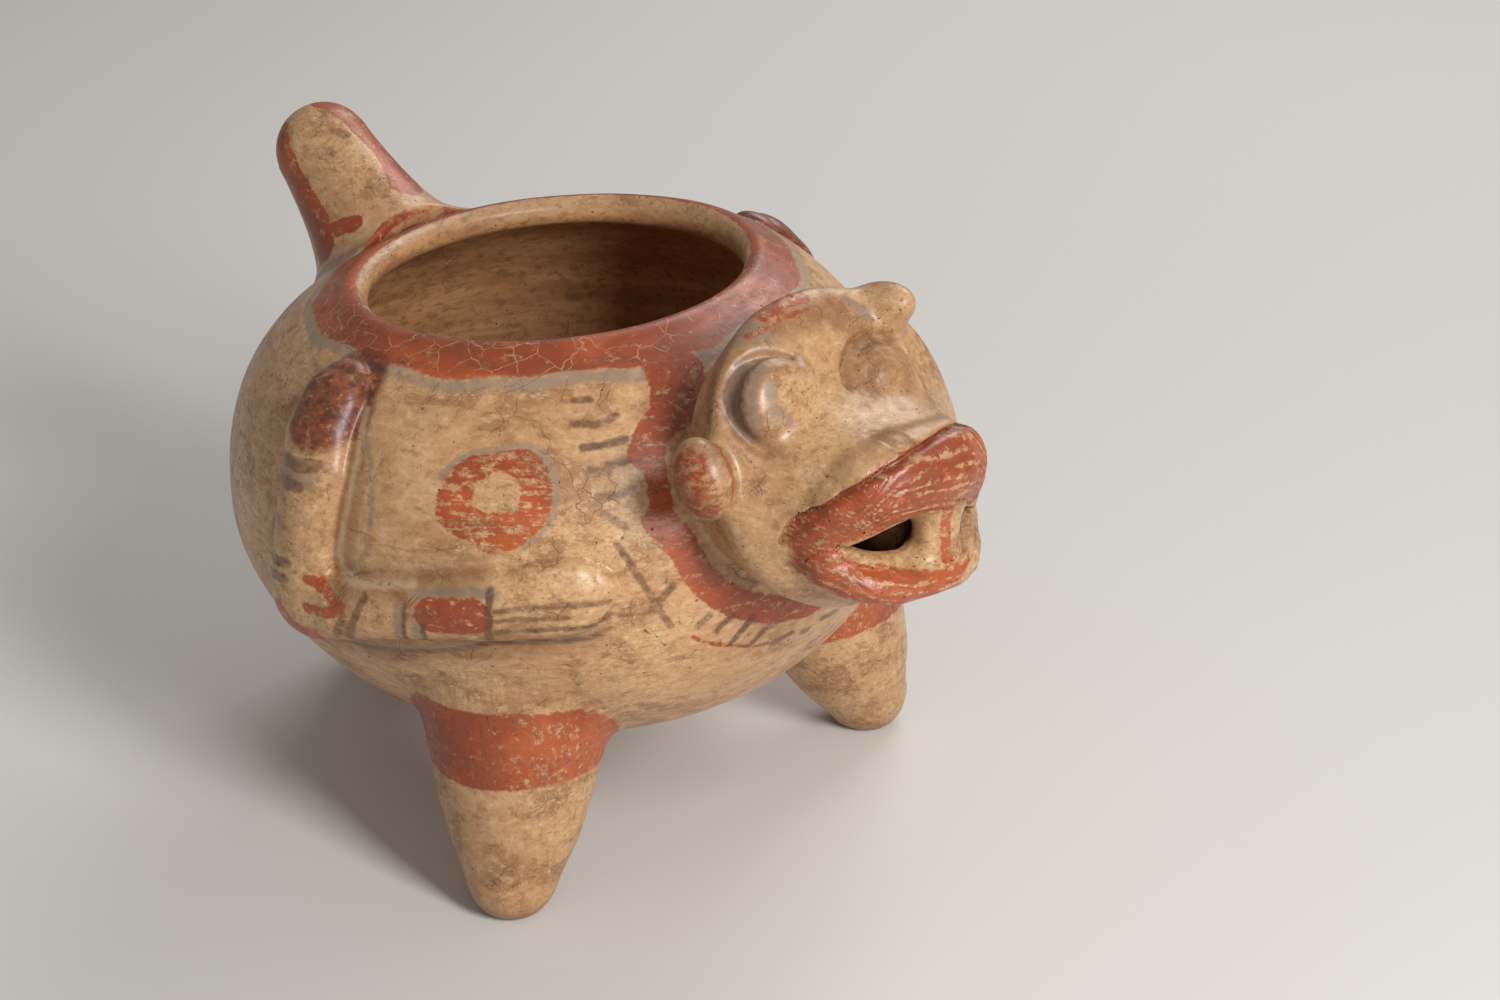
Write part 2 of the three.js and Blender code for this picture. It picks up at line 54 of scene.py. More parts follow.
# The outer face is a rounded outline, with its own height and roundness above the widest line
# and below it. Lengths are in mm.
bowl_radius, bowl_depth_share = 115.0, 1.016
equator = 113.3
upper_height, lower_height = 82.6, 85.1
upper_roundness, lower_roundness = 2.3, 1.956
mouth_radius, roll_radius, rim_band = 67.5, 5.5, 11.0
mouth_crest = equator + upper_height * (1 - (mouth_radius / bowl_radius) ** upper_roundness) ** (
    1 / upper_roundness)
mouth_wider, mouth_shorter, mouth_back = 0.044, 0.057, 4.6
lean_along, lean_across = math.tan(math.radians(-2)), math.tan(math.radians(0.6))


def lean_share(z):
    """How much of the lean a height has: none at the widest line, all of it at the mouth."""
    return np.clip((z - equator) / (mouth_crest - equator), 0, 1) ** 3


def settle(p):
    """Takes a point of the true round bowl to its place on the uneven one."""
    x, y, z = p[:, 0], p[:, 1] * bowl_depth_share, p[:, 2]
    share = lean_share(z)
    return np.column_stack([
        x * (1 + mouth_wider * share), y * (1 - mouth_shorter * share) + mouth_back * share,
        z + (y * lean_along + x * lean_across) * share])


def unsettle(p):
    """Takes a point of the uneven bowl back to its place on the round one."""
    z = p[:, 2]
    for _ in range(3):
        share = lean_share(z)
        x = p[:, 0] / (1 + mouth_wider * share)
        y = (p[:, 1] - mouth_back * share) / (1 - mouth_shorter * share)
        z = p[:, 2] - share * (y * lean_along + x * lean_across)
    return np.column_stack([x, y / bowl_depth_share, z])


def hand(p):
    """The unevenness that fingers leave in wet clay, in mm."""
    x, y, z = p[:, 0], p[:, 1], p[:, 2]
    broad = np.sin(x / 19 + 1.3) * np.sin(z / 15 + y / 31) + np.sin(y / 17 + z / 23 + 0.6)
    fine = np.sin(x / 7.3 + z / 9.1) * np.sin(y / 8.2 - z / 6.4 + 1.1)
    return 0.16 * broad + 0.07 * fine


def bowl_field(p):
    """How far a point lies outside the bowl's outer face, in mm (negative inside it)."""
    q = unsettle(p)
    height = q[:, 2] - equator
    power = np.where(height > 0, upper_roundness, lower_roundness)
    reach = np.where(height > 0, upper_height, lower_height)
    a = np.maximum(np.hypot(q[:, 0], q[:, 1]) / bowl_radius, 1e-4)
    b = np.maximum(np.abs(height) / reach, 1e-4)
    k = (a ** power + b ** power) ** (1 / power)
    slope = k ** (1 - power) * np.hypot(a ** (power - 1) / bowl_radius, b ** (power - 1) / reach)
    return (k - 1) / slope - hand(p)


def slope_of(field, p, reach=0.05):
    """The way in which a field grows fastest, measured over a small reach in mm."""
    steps = np.eye(3) * reach
    return np.column_stack([(field(p + s) - field(p - s)) / (2 * reach) for s in steps])


def press(p, field, times=2, most=1.0):
    """Moves points along the slope of a field until they lie on its zero face."""
    for _ in range(times):
        slope = slope_of(field, p)
        move = field(p) / np.maximum((slope ** 2).sum(1), 0.05)
        p = p - slope * np.clip(move, -most, most)[:, None]
    return p


def unit(v):
    return v / np.maximum(np.linalg.norm(v, axis=-1, keepdims=True), 1e-9)


def outline_point(turn, grow=0.0):
    """A point of the round bowl's outline: its radius and height at a turn from the equator."""
    power = upper_roundness if turn > 0 else lower_roundness
    reach = (upper_height if turn > 0 else lower_height) + grow
    c, s = math.cos(math.radians(turn)), math.sin(math.radians(abs(turn)))
    rise = math.copysign(reach * s ** (2 / power), turn)
    return (bowl_radius + grow) * max(c, 0) ** (2 / power), equator + rise


def turn_at(radius):
    """The turn at which the shoulder has come in to a radius."""
    return math.degrees(math.acos((radius / bowl_radius) ** (upper_roundness / 2)))


def even(points, gap):
    """Spaces the points of a line evenly, about a gap apart."""
    points = np.array(points)
    run = np.concatenate([[0], np.cumsum(np.linalg.norm(np.diff(points, axis=0), axis=1))])
    at = np.linspace(0, run[-1], max(int(round(run[-1] / gap)), 2) + 1)
    return np.column_stack([np.interp(at, run, points[:, i]) for i in range(points.shape[1])])


def facing(rows):
    """Which way the rings of points of the pot face."""
    return unit(np.cross(np.gradient(rows, axis=0), np.roll(rows, -1, 1) - np.roll(rows, 1, 1)))


# The profile runs up the outer face, over the roll and down the inner face, in mm
around, outer_step, roll_step, inner_step = 540, 1.45, 1.0, 2.6
seam_turn = turn_at(mouth_radius + rim_band)
lip_middle = mouth_crest - roll_radius
below = [outline_point(t) for t in np.linspace(-89.9, 0, 400)]
shoulder = [outline_point(t) for t in np.linspace(0, seam_turn, 200)]
rolled = [outline_point(t) for t in np.linspace(seam_turn, turn_at(mouth_radius + 5), 20)]
rolled += [(mouth_radius + roll_radius * math.cos(math.radians(t)),
            lip_middle + roll_radius * math.sin(math.radians(t))) for t in range(66, 262, 4)]
rolled += [(mouth_radius + 1.6, lip_middle - 6.6), (mouth_radius + 5.5, lip_middle - 7.0),
           outline_point(seam_turn, -wall)]
rolled = even(rolled, roll_step)
for _ in range(3):
    rolled[1:-1] = (rolled[:-2] + 2 * rolled[1:-1] + rolled[2:]) / 4
inner_shoulder = [outline_point(t, -wall) for t in np.linspace(seam_turn, 0, 200)]
inner_below = [outline_point(t, -wall) for t in np.linspace(0, -89.9, 400)]
spans = [even(below, outer_step), even(shoulder, outer_step)[1:], rolled[1:],
         even(inner_shoulder, inner_step)[1:], even(inner_below, inner_step)[1:]]
ring_ends = [int(end) for end in np.cumsum([len(s) for s in spans]) - 1]
profile = np.vstack(spans)
ring_turns = np.linspace(0, 2 * math.pi, around, endpoint=False)
pot = np.stack([
    -profile[:, :1] * np.sin(ring_turns), -profile[:, :1] * np.cos(ring_turns),
    np.repeat(profile[:, 1:], around, axis=1)], axis=2)
rings = len(pot)
pot = settle(pot.reshape(-1, 3)).reshape(rings, around, 3)
outer = ring_ends[1] + 1
pot[:outer] = press(pot[:outer].reshape(-1, 3), bowl_field).reshape(outer, around, 3)
uneven = hand(pot[outer:].reshape(-1, 3)).reshape(-1, around, 1)
pot[outer:] += facing(pot)[outer:] * uneven
pot_normals = facing(pot)


def ring_faces(a, b):
    """Faces between two rings of the pot, seen from outside."""
    i = np.arange(around)
    j = (i + 1) % around
    return np.column_stack([a * around + i, b * around + i, b * around + j, a * around + j])


def pot_piece(first, last, third, fourth):
    """The rings of the outer face from first to last, and of the inner face from third on."""
    order = list(range(first, last + 1)) + list(range(third, fourth + 1))
    pairs = list(zip(order[:-1], order[1:])) + ([(fourth, first)] if first else [])
    faces = [np.vstack([ring_faces(a, b) for a, b in pairs])]
    points, normals = pot.reshape(-1, 3), pot_normals.reshape(-1, 3)
    for ring, up in () if first else ((0, -1), (rings - 1, 1)):
        points, normals = np.vstack([points, pot[ring].mean(0)]), np.vstack([normals, [0, 0, up]])
        i, j = ring * around + np.arange(around), ring * around + (np.arange(around) + 1) % around
        tip = np.full(around, len(points) - 1)
        faces.append(np.column_stack([j, i, tip] if up > 0 else [i, j, tip]))
    return points, normals, faces


def placed(name, data):
    """Puts a mesh, a lamp or a camera into the scene."""
    made = bpy.data.objects.new(name, data)
    bpy.context.scene.collection.objects.link(made)
    return made


def make(name, points, faces, normals, paint, material):
    """Makes one fired piece out of points in mm about the bowl's axis, and dresses its node."""
    used = np.unique(np.concatenate([f.ravel() for f in faces]))
    renumber = np.full(len(points), -1)
    renumber[used] = np.arange(len(used))
    points, normals = points[used], normals[used]
    mesh = bpy.data.meshes.new(name + "_fired")
    everything = [tuple(row) for f in faces for row in renumber[f].tolist()]
    mesh.from_pydata((points + outline_middle) / 1000, [], everything)
    mesh.validate()
    for label, value in paint(points).items():
        layer = mesh.attributes.new(label, "FLOAT", "POINT")
        layer.data.foreach_set("value", value.astype(np.float32))
    mesh.shade_smooth()
    mesh.normals_split_custom_set_from_vertices([tuple(n) for n in normals])
    mesh.materials.append(material)
    piece = placed(name + "_fired", mesh)
    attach(piece, "root")
    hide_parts(name)
    return piece


# The paint is slip, liquid clay brushed on before the fire: red over the rim, the legs' roots, the
# tail and the lips, with grey-lilac outlines and brown-black bands and strokes. Every stroke is a
# half width in mm and a line on the wall, given by its turn from the head in degrees (right side
# positive) and its height in mm. The right flank's marks are mirrored on the left one.
def on_wall(turn, height):
    """Points on the bowl's outer face at a turn from the head and a height."""
    a = np.clip(np.abs(height - equator) / np.where(height > equator, upper_height, lower_height),
                0, 1)
    power = np.where(height > equator, upper_roundness, lower_roundness)
    radius = bowl_radius * (1 - a ** power) ** (1 / power)
    turn = np.radians(turn)
    return settle(np.column_stack([-radius * np.sin(turn), -radius * np.cos(turn), height]))


def line_gap(p, points):
    """Distance from points to a line of straight runs."""
    best = np.full(len(p), 1e3)
    for a, b in zip(points[:-1], points[1:]):
        run = b - a
        t = np.clip((p - a) @ run / max(run @ run, 1e-9), 0, 1)
        best = np.minimum(best, np.linalg.norm(p - a - t[:, None] * run, axis=1))
    return best


def stroke(p, half_width, line):
    """Signed distance into a stroke of the brush, in mm: positive inside it."""
    return half_width - line_gap(p, np.array(line, dtype=float))


def on_flank(p, half_width, line):
    """The same for a stroke whose line is given by turn and height on the wall."""
    fine = even(np.array(line) * [1.6, 1], 6) / [1.6, 1]
    return stroke(p, half_width, on_wall(fine[:, 0], fine[:, 1]))


dash_half_width = 1.3
dashes = [
    [(37, 173), (33.5, 173)], [(38, 168.5), (34, 167.5), (29.5, 169)],
    [(37, 163), (33.5, 163), (29, 164)], [(36.5, 158), (33.5, 157)], [(33.3, 158.5), (29.5, 159)],
    [(36, 151), (33, 151), (30, 152.5)], [(35.5, 146.5), (32.5, 143)],
]
chest_dashes = [
    [(22, 107), (20, 110.5)], [(18.8, 103.5), (18, 105.5), (16.2, 108)],
    [(16, 97), (14.3, 101), (12.3, 105)], [(12, 94), (9.8, 98.5)], [(7.3, 91), (3.5, 92)],
    [(0.8, 90), (-3.8, 88.5)],
]
marks = {
    "red": [
        (5.5, [(16, 178), (18.4, 170), (20.3, 167), (24.1, 164), (26.5, 160)]),
        (4.0, [(10, 176), (14, 170), (19, 166)]),
        (3.6, [(25, 163), (25.5, 156), (26, 148), (26, 141), (25, 135)]),
        (5.0, [(27, 143), (24.6, 138), (23.2, 132), (22, 126), (20.3, 121), (17.5, 115),
               (13, 109), (7, 104), (0, 101)]),
        (1.8, [(84.5, 117.5), (78.6, 115), (77.4, 112), (80.7, 108.5), (84.1, 108.5)]),
        (3.0, [(90.5, 104), (88.5, 99), (84.5, 97)]),
        (6.2, [(62.0, 116.5), (59, 117.5), (56.0, 118.5)]),
        (0.7, [(22.8, 103), (21.4, 101), (19.4, 99), (16.4, 96), (12.2, 93), (8, 91)]),
    ],
    "umber": [
        (2.4, [(95, 152.5), (88, 153), (84.5, 154)]),
        (2.2, [(95, 145.5), (87, 146.5)]),
        (1.7, [(93, 119), (88.3, 121)]), (1.7, [(93, 114), (88.6, 115.5)]),
        (1.3, [(73.5, 118), (75.0, 111), (77.5, 101)]),
        (1.3, [(77.2, 110), (79.5, 101)]),
        (1.2, [(34, 138), (31.5, 129), (29, 118), (26.5, 109)]),
        (1.4, [(26, 123), (29.4, 116)]),
        (0.8, [(37.6, 116.5), (34, 115), (31, 115.3), (28.5, 115.3)]),
        (0.8, [(66.4, 119), (67.6, 104)]), (0.9, [(63.4, 119), (64.4, 104)]),
        (1.2, [(53.3, 127), (53.9, 110)]),
        (1.0, [(52.5, 121), (48, 122.5), (42, 123.8), (36, 122)]),
        (0.8, [(52.5, 117.8), (47, 119), (42, 119)]),
        (1.1, [(52.5, 113.5), (45.2, 115), (40.5, 114.3), (36.2, 114.5)]),
        # The brown line under the forearm is partly a painted outline and partly painted shadow
        (0.9, [(90, 92.5), (80, 93), (71.8, 96), (63, 100), (54.6, 105.5), (47, 107),
               (40.2, 107), (36, 111)]),
    ],
    "grey": [
        (1.9, [(67.4, 117), (68.3, 106)]), (1.6, [(64.3, 118), (65.2, 107)]),
        (2.0, [(64.9, 122.5), (58.6, 125.5), (53, 126.5)]),
        (0.9, [(78, 119), (75, 131), (74.5, 143), (76, 156), (80, 164)]),
        (5.0, [(94, 149), (86, 150.5)]),
        # The grey line just above it is partly outline and partly painted shadow under the forearm
        (1.3, [(90, 93), (80, 94), (71.8, 97), (63, 101), (54.6, 106.5), (47, 108), (40.2, 108)]),
    ],
    "scraped": [
        (1.1, [(80.5, 168), (79, 155), (79.6, 140), (80.6, 126), (79.6, 120.5), (76.4, 120.5),
               (65.5, 125)]),
        (0.3, [(74.8, 159), (76.4, 142), (77, 124)]),
        (0.3, [(70, 128), (62, 130), (52, 134)]),
    ],
    "crack": [(0.35, [(30.7, 109), (28.8, 106), (27.3, 102)])],
    # The shoulder caps, dark red and rubbed thin, and brown painted shade in the folds beside and
    # below the arms
    "dark": [(11.0, [(87, 174), (86, 166)])],
    "stain": [
        (5.0, [(78, 118), (80, 130), (79, 150), (82, 168)]),
        (4.5, [(90, 91), (76, 94), (63, 100), (50, 106), (38, 109)]),
        (4.0, [(76, 120), (66, 125), (56, 130)]),
    ],
}
marks["umber"] += [(dash_half_width, line) for line in dashes + chest_dashes]
far_outside = -9.0
ring_turn, ring_height, ring_half_width, ring_half_height = 52.8, 151.0, 18.5, 15.4
band_radius = 79.5


def add(layers, colour, value):
    layers[colour] = np.maximum(layers[colour], value)


def slip_on_bowl(p):
    """Where each slip lies on the wall or near it, in mm: positive inside its edge."""
    q = unsettle(p)
    radius = np.hypot(q[:, 0], q[:, 1])
    turn = np.degrees(np.arctan2(-q[:, 0], -q[:, 1]))
    flank = on_wall(np.abs(turn), np.clip(q[:, 2], equator - lower_height + 0.1, 184))
    layers = {colour: np.max([on_flank(flank, half, line) for half, line in strokes], axis=0)
              for colour, strokes in marks.items()}
    # Each shoulder carries a ring of red with a grey outline
    centre, higher, ahead = on_wall(np.array([ring_turn, ring_turn, 50.0]),
                                    np.array([ring_height, 155.0, ring_height]))
    u, v = (flank - centre) @ unit(ahead - centre), (flank - centre) @ unit(higher - centre)
    way = np.arctan2(v, u)
    lobed = 1 + 0.05 * np.cos(3 * way + 0.6) + 0.025 * np.sin(5 * way)
    ring = np.hypot(u / ring_half_width, v / ring_half_height) * lobed
    hole = np.hypot((u - 0.3) / 8.0, (v - 1.4 - 0.12 * np.abs(u)) / 6.0)
    hole = hole * (1 + 0.10 * np.cos(3 * way - 1.2) + 0.05 * np.sin(7 * way))
    near = np.abs(turn) > 30
    ring_red = np.minimum((1 - ring) * ring_half_width, (hole - 1) * 7)
    add(layers, "red", np.where(near, ring_red, far_outside))
    outline = 1.5 - np.abs((ring - 1.04) * ring_half_width)
    add(layers, "grey", np.where(near & (u + 1.2 * v > -10), outline, far_outside))
    # The rim's red band ends on the shoulder, outlined in grey-lilac
    way = np.radians(turn)
    band = band_radius - radius + 0.9 * np.sin(way * 7) + 0.5 * np.sin(way * 17 + 1)
    band = np.where(q[:, 2] > 160, band, -40)
    add(layers, "red", band)
    add(layers, "grey", 2.3 - np.abs(band + 1.6))
    # How far the red slip is rubbed off: most on the ring, less on the collar, least on the rim
    layers["rubbed"] = np.where(near & (ring < 1.3), 0.75, np.where(band > -1, 0.05, 0.3))
    return layers, turn, radius


def paint_bowl(p):
    """The bowl's slips, with bare clay on the inner face below the lip."""
    layers, turn, radius = slip_on_bowl(p)
    inner = np.clip((-bowl_field(p) - 2.5) / 2, 0, 1)
    lip = np.clip((p[:, 2] - mouth_crest + 6) / 3, 0, 1) * (radius < mouth_radius + 2)
    layers["inside"] = np.clip(inner - lip, 0, 1)
    for colour in marks:
        layers[colour] = np.where(inner > 0.3, -5, layers[colour])
    layers["red"] = np.minimum(layers["red"], radius - mouth_radius + 2.6 + 2.2 * np.cos(
        np.radians(turn - 40)))
    return layers


def hexed(code, alpha=1.0):
    """An sRGB hex colour as the linear one that shaders take."""
    parts = [int(code[i:i + 2], 16) / 255 for i in (1, 3, 5)]
    return [c / 12.92 if c <= 0.04045 else ((c + 0.055) / 1.055) ** 2.4 for c in parts] + [alpha]


def node(tree, kind, inputs=(), out=0, **settings):
    """Adds a node and gives one of its outputs. Inputs are numbers, colours or other outputs."""
    made = tree.nodes.new("ShaderNode" + kind)
    for name, value in settings.items():
        setattr(made, name, value)
    for place, value in dict(inputs).items():
        if isinstance(value, bpy.types.NodeSocket):
            tree.links.new(value, made.inputs[place])
        else:
            made.inputs[place].default_value = value
    return made.outputs[out] if len(made.outputs) else made


# Slip-painted earthenware, burnished with a smooth stone before the fire: a satin surface that
# shows the strokes of brush and stone, fine dark grit, hairline cracks and smoke stains, with
# brown painted shade in folds and creases.
# grain is how far a brushed streak stretches along x, y and z, streak how strong it is, crackle
# how many pale cracks the red slip has, and the last one how much the whole piece is darkened:
# partly smoke from the fire, partly painted shade.
def slipware(name, grain, streak=0.4, crackle=0.15, smoke_and_shade=0.0):
    material = bpy.data.materials.new(name)
    material.use_nodes = True
    tree = material.node_tree
    tree.nodes.clear()
    place = node(tree, "TexCoord", out="Object")
    brushed = node(tree, "Mapping", {0: place, 3: grain})
    drawn = node(tree, "Mapping", {0: place, 3: (0.65, 0.65, 1.0)})

    # Each noise: the size of its spots in mm, its detail, roughness and distortion
    streaks, broad_streaks, flecks, mottle, patch, edge, cloud, grit = [
        node(tree, "TexNoise", {0: vector, 2: 1000 / size_mm, 3: detail, 4: rough, 8: twist})
        for vector, size_mm, detail, rough, twist in (
            (brushed, 1.7, 5, 0.65, 0), (brushed, 6.0, 4, 0.6, 0), (drawn, 1.0, 4, 0.7, 0.4),
            (drawn, 2.6, 5, 0.65, 0.3), (drawn, 13, 5, 0.6, 0.5), (drawn, 2.2, 4, 0.7, 0),
            (place, 38, 3, 0.5, 0.6), (place, 1.0, 2, 0.5, 0))]

    def share(*terms):
        """The product of numbers, outputs, and outputs eased: (output, low, high, least, most)."""
        total = None
        for term in terms:
            if isinstance(term, tuple):
                term = dict(enumerate(term + (0.0, 1.0)[len(term) - 3:]))
                term = node(tree, "MapRange", term, interpolation_type="SMOOTHSTEP")
            total = term if total is None else node(
                tree, "Math", {0: total, 1: term}, operation="MULTIPLY")
        return total

    def weighed(*pairs):
        """The sum of outputs, each times its weight."""
        total = 0.0
        for source, weight in pairs:
            total = node(tree, "Math", {0: source, 1: weight, 2: total}, operation="MULTIPLY_ADD")
        return total

    def laid(under, over, *terms):
        """One colour over another, as thick as the share of the terms says."""
        under, over = [hexed(c) if isinstance(c, str) else c for c in (under, over)]
        return node(tree, "Mix", {0: share(*terms), 6: under, 7: over}, 2, data_type="RGBA")

    def slip(label, soft, ragged, most=1.0, middle=0.0):
        """How much of a slip lies here, with the ragged edge of a dry brush."""
        signed = node(tree, "Attribute", out="Fac", attribute_name=label)
        start = middle + ragged
        worn = weighed((edge, 2 * ragged), (signed, 1))
        return share((worn, start - soft, start + soft, 0, most))

    # Buff slip: warm cream, browner where smoke caught it, paler where it was rubbed
    buff = laid("#BD8F63", "#C69A6C", (cloud, 0.38, 0.62))
    for colour, *term in (
            ("#9B6E46", patch, 0.50, 0.62, 0, 0.75), ("#D0A87C", patch, 0.36, 0.46, 0.5, 0),
            ("#D8B78C", mottle, 0.53, 0.64, 0, 0.45), ("#8A5E3E", mottle, 0.36, 0.46, 0.5, 0)):
        buff = laid(buff, colour, tuple(term))
    rough_here = share((cloud, 0.42, 0.58, 0.25, 1.0))
    buff = laid(buff, "#DEC29A", (flecks, 0.56, 0.62, 0, 0.5), rough_here)
    buff = laid(buff, "#80573A", (flecks, 0.38, 0.44, 0.45, 0), rough_here)
    buff = laid(buff, "#916645", (streaks, 0.54, 0.66, 0, streak * 0.8))
    buff = laid(buff, "#DCBC94", (streaks, 0.34, 0.44, streak * 0.7, 0))
    buff = laid(buff, "#A87B54", (broad_streaks, 0.56, 0.68, 0, streak * 0.7))

    # Red slip: iron red, rubbed off in streaks that show the buff, and darker on the shoulder caps
    red = laid("#974423", "#B2572F", (cloud, 0.38, 0.62))
    for colour, *term in (
            ("#74301A", streaks, 0.48, 0.68, 0, 0.75), ("#C4774C", mottle, 0.54, 0.72, 0, 0.6),
            ("#8A4A2C", broad_streaks, 0.50, 0.64, 0, 0.5)):
        red = laid(red, colour, tuple(term))
    rubbed = node(tree, "Attribute", out="Fac", attribute_name="rubbed")
    bare = weighed((mottle, 0.25), (streaks, 0.5), (flecks, 0.25), (rubbed, 0.10))
    bare = share((bare, 0.555, 0.64, 0, 0.85))
    red = laid(red, buff, bare)
    dark = laid(laid("#4E2012", "#7C3820", (mottle, 0.4, 0.6)), buff, bare, 0.5)

    # Grey-lilac and brown-black slips, thinner where the brush ran dry
    grey = laid("#84705F", "#998370", (patch, 0.4, 0.65))
    umber = laid("#523320", "#754E30", (patch, 0.4, 0.65))
    thin = share((weighed((mottle, 0.6), (cloud, 0.4)), 0.44, 0.58, 0.95, 0.6))
    red_share = slip("red", 0.45, 1.6)
    # Brown painted shade in folds and creases, with some dirt, laid under the other slips
    shown = laid(buff, "#7D5230", slip("stain", 4.0, 2.0, 0.5))
    shown = laid(shown, grey, slip("grey", 0.9, 1.2, 0.85), thin)
    shown = laid(shown, red, red_share)
    shown = laid(shown, dark, slip("dark", 2.5, 2.5, 0.9))
    shown = laid(shown, umber, slip("umber", 0.6, 0.9, 0.85), thin)
    shown = laid(shown, "#DCC6A0", slip("scraped", 1.0, 0.8, 0.4))
    # Darkening over the whole piece: part fire smoke, part painted shade
    shown = laid(shown, "#4A2812", smoke_and_shade)

    # Bare brown clay inside, wiped round by hand
    raw = laid("#A06E48", "#C0905F", (broad_streaks, 0.3, 0.7))
    raw = laid(raw, "#6A4529", (mottle, 0.45, 0.7, 0, 0.6))
    inside = slip("inside", 0.25, 0.35, 1.0, 0.5)
    shown = laid(shown, raw, inside)

    # Hairline cracks about 9 mm apart where the slip shrank, grit, and pits about 5 mm apart
    wander = node(tree, "TexNoise", {0: place, 2: 1000 / 6.0, 3: 2.0}, "Color")
    bent = node(tree, "VectorMath", {0: wander, 1: (0.004, 0.004, 0.004), 2: place},
                operation="MULTIPLY_ADD")
    cells = node(tree, "TexVoronoi", {0: bent, 2: 1000 / 9.0}, "Distance",
                 feature="DISTANCE_TO_EDGE")
    spots = node(tree, "TexVoronoi", {0: place, 2: 1000 / 5.5}, "Distance", feature="F1")
    hairline = share((cells, 0.005, 0.018, 1, 0), (patch, 0.50, 0.62))
    pit = share((spots, 0.05, 0.11, 1, 0), (grit, 0.40, 0.55))
    cut = slip("crack", 0.15, 0.4)
    shown = laid(shown, "#D0A27A", (cells, 0.004, 0.022, 1, 0), (patch, 0.42, 0.54), crackle,
                 red_share)
    shown = laid(shown, "#5A3A26", hairline, 0.55)
    shown = laid(shown, "#4E3524", (grit, 0.68, 0.74, 0, 0.45))
    shown = laid(shown, "#3B281D", pit, 0.7)
    shown = laid(shown, "#2A1B13", cut, 0.85)

    # Burnished slip is satin, with the stone's strokes in it. Bare clay and pits are duller
    shine = weighed((share((streaks, 0.3, 0.75, 0.30, 0.48)), 1), (inside, 0.25), (pit, 0.2))
    height = weighed((streaks, 0.05), (broad_streaks, 0.12), (patch, 0.25), (mottle, 0.10),
                     (red_share, 0.04), (pit, -0.25), (hairline, -0.12), (cut, -0.3))
    bump = node(tree, "Bump", {"Height": height, "Strength": 0.8, "Distance": 0.001})
    shader = node(tree, "BsdfPrincipled", {"Base Color": shown, "Roughness": shine,
                                           "Normal": bump, "IOR": 1.5})
    node(tree, "OutputMaterial", {0: shader})
    return material


bowl_clay = slipware("slip_painted_earthenware_bowl", (0.16, 0.16, 1.0))
low, high, crown, deep, floor_ring = ring_ends
for name, first, last, third, fourth in (
        ("bowl_lower", 0, low, deep, floor_ring), ("bowl_shoulder", low, high, crown, deep)):
    points, normals, faces = pot_piece(first, last, third, fourth)
    make(name, points, faces, normals, paint_bowl, bowl_clay)
points, normals = pot.reshape(-1, 3), pot_normals.reshape(-1, 3)
rim_rings = list(range(high, crown + 1)) + [high]
faces = np.vstack([ring_faces(a, b) for a, b in zip(rim_rings[:-1], rim_rings[1:])])
rim_clay = slipware("slip_painted_earthenware_rim", (0.16, 0.16, 1.0), crackle=0.6,
                    smoke_and_shade=0.22)
make("rim_roll", points, [faces], normals, paint_bowl, rim_clay)

# ------------------------------
# Legs. Three hollow cones of clay, pressed on splayed and smoothed into the wall with a wet
# finger, each with a steam vent in its hidden side. Their roots are banded with red slip, and
# their tips are worn flat.
front_legs, rear_leg = (-55.0, 55.0), 180.0
leg_spread, leg_lean = 102.0, 21.0
leg_tip, leg_sole, leg_wall = 15.0, 3.6, 8.0
# A cone's radius at each height above its tip, in mm
leg_taper = [(14.1, 9.9), (17.6, 19.3), (21.6, 28.5), (25.1, 42.3), (28.2, 55.2), (30.8, 64.4),
             (33.3, 73.6), (34.6, 82.8), (31.5, 95.7)]
leg_fillet, leg_vent_height, vent_edge = 6.0, 46.0, 0.8
# How far roots reach into the wall, and how far under its face their fillets run out, in mm
hidden_depth, skin_gap = 2.5, 0.03
cell, fine_cell, box_margin, start_below_soles = 1.1, 0.9, 9, -2.35


def melt(a, b, k):
    """Joins two fields with a fillet, as wet clay is smoothed over a joint."""
    h = np.maximum(k - np.abs(a - b), 0) / k
    return np.minimum(a, b) - h * h * k / 4


def carve(a, b, k):
    """Cuts one field out of another, with a rounded edge."""
    return -melt(-a, b, k)


def turned(p, axis, degrees):
    """Points turned about the x, y or z axis."""
    c, s = math.cos(math.radians(degrees)), math.sin(math.radians(degrees))
    u, v = (axis + 1) % 3, (axis + 2) % 3
    q = p.copy()
    q[:, u], q[:, v] = c * p[:, u] - s * p[:, v], s * p[:, u] + c * p[:, v]
    return q


def cone_field(q, tip, taper):
    """A cone that stands on its round tip at the origin, given by its radius at each height."""
    heights = np.arange(taper[0][1], taper[-1][1], 1.0)
    radii = np.interp(heights, [h for _, h in taper], [r for r, _ in taper])
    radii = np.convolve(np.pad(radii, 5, mode="reflect", reflect_type="odd"), np.ones(11) / 11,
                        "valid")
    steep = np.gradient(radii, heights)
    reach = np.hypot(q[:, 0], q[:, 1])
    side = (reach - np.interp(q[:, 2], heights, radii)) / np.hypot(
        1, np.interp(q[:, 2], heights, steep))
    ball = np.linalg.norm(q - [0, 0, tip], axis=1) - tip
    return melt(np.maximum(side, heights[0] - q[:, 2]), ball, 1.0)


def slit_field(q, height, side):
    """A steam vent: an oval slit through one side of a cone's wall."""
    return np.maximum((np.hypot(q[:, 0] / 1.7, (q[:, 2] - height) / 6.5) - 1) * 1.7,
                      -side * q[:, 1])


def leg_place(p, angle):
    """Points in the frame of a leg, which stands on its tip at the origin."""
    q = turned(p, 2, -angle) - [0, -leg_spread, leg_tip - leg_sole]
    return turned(q, 0, leg_lean) + [0, 0, leg_tip]


def leg_parts(p, angle):
    q = leg_place(p, angle)
    return cone_field(q, leg_tip, leg_taper) - hand(p * 1.3) * 1.6, q


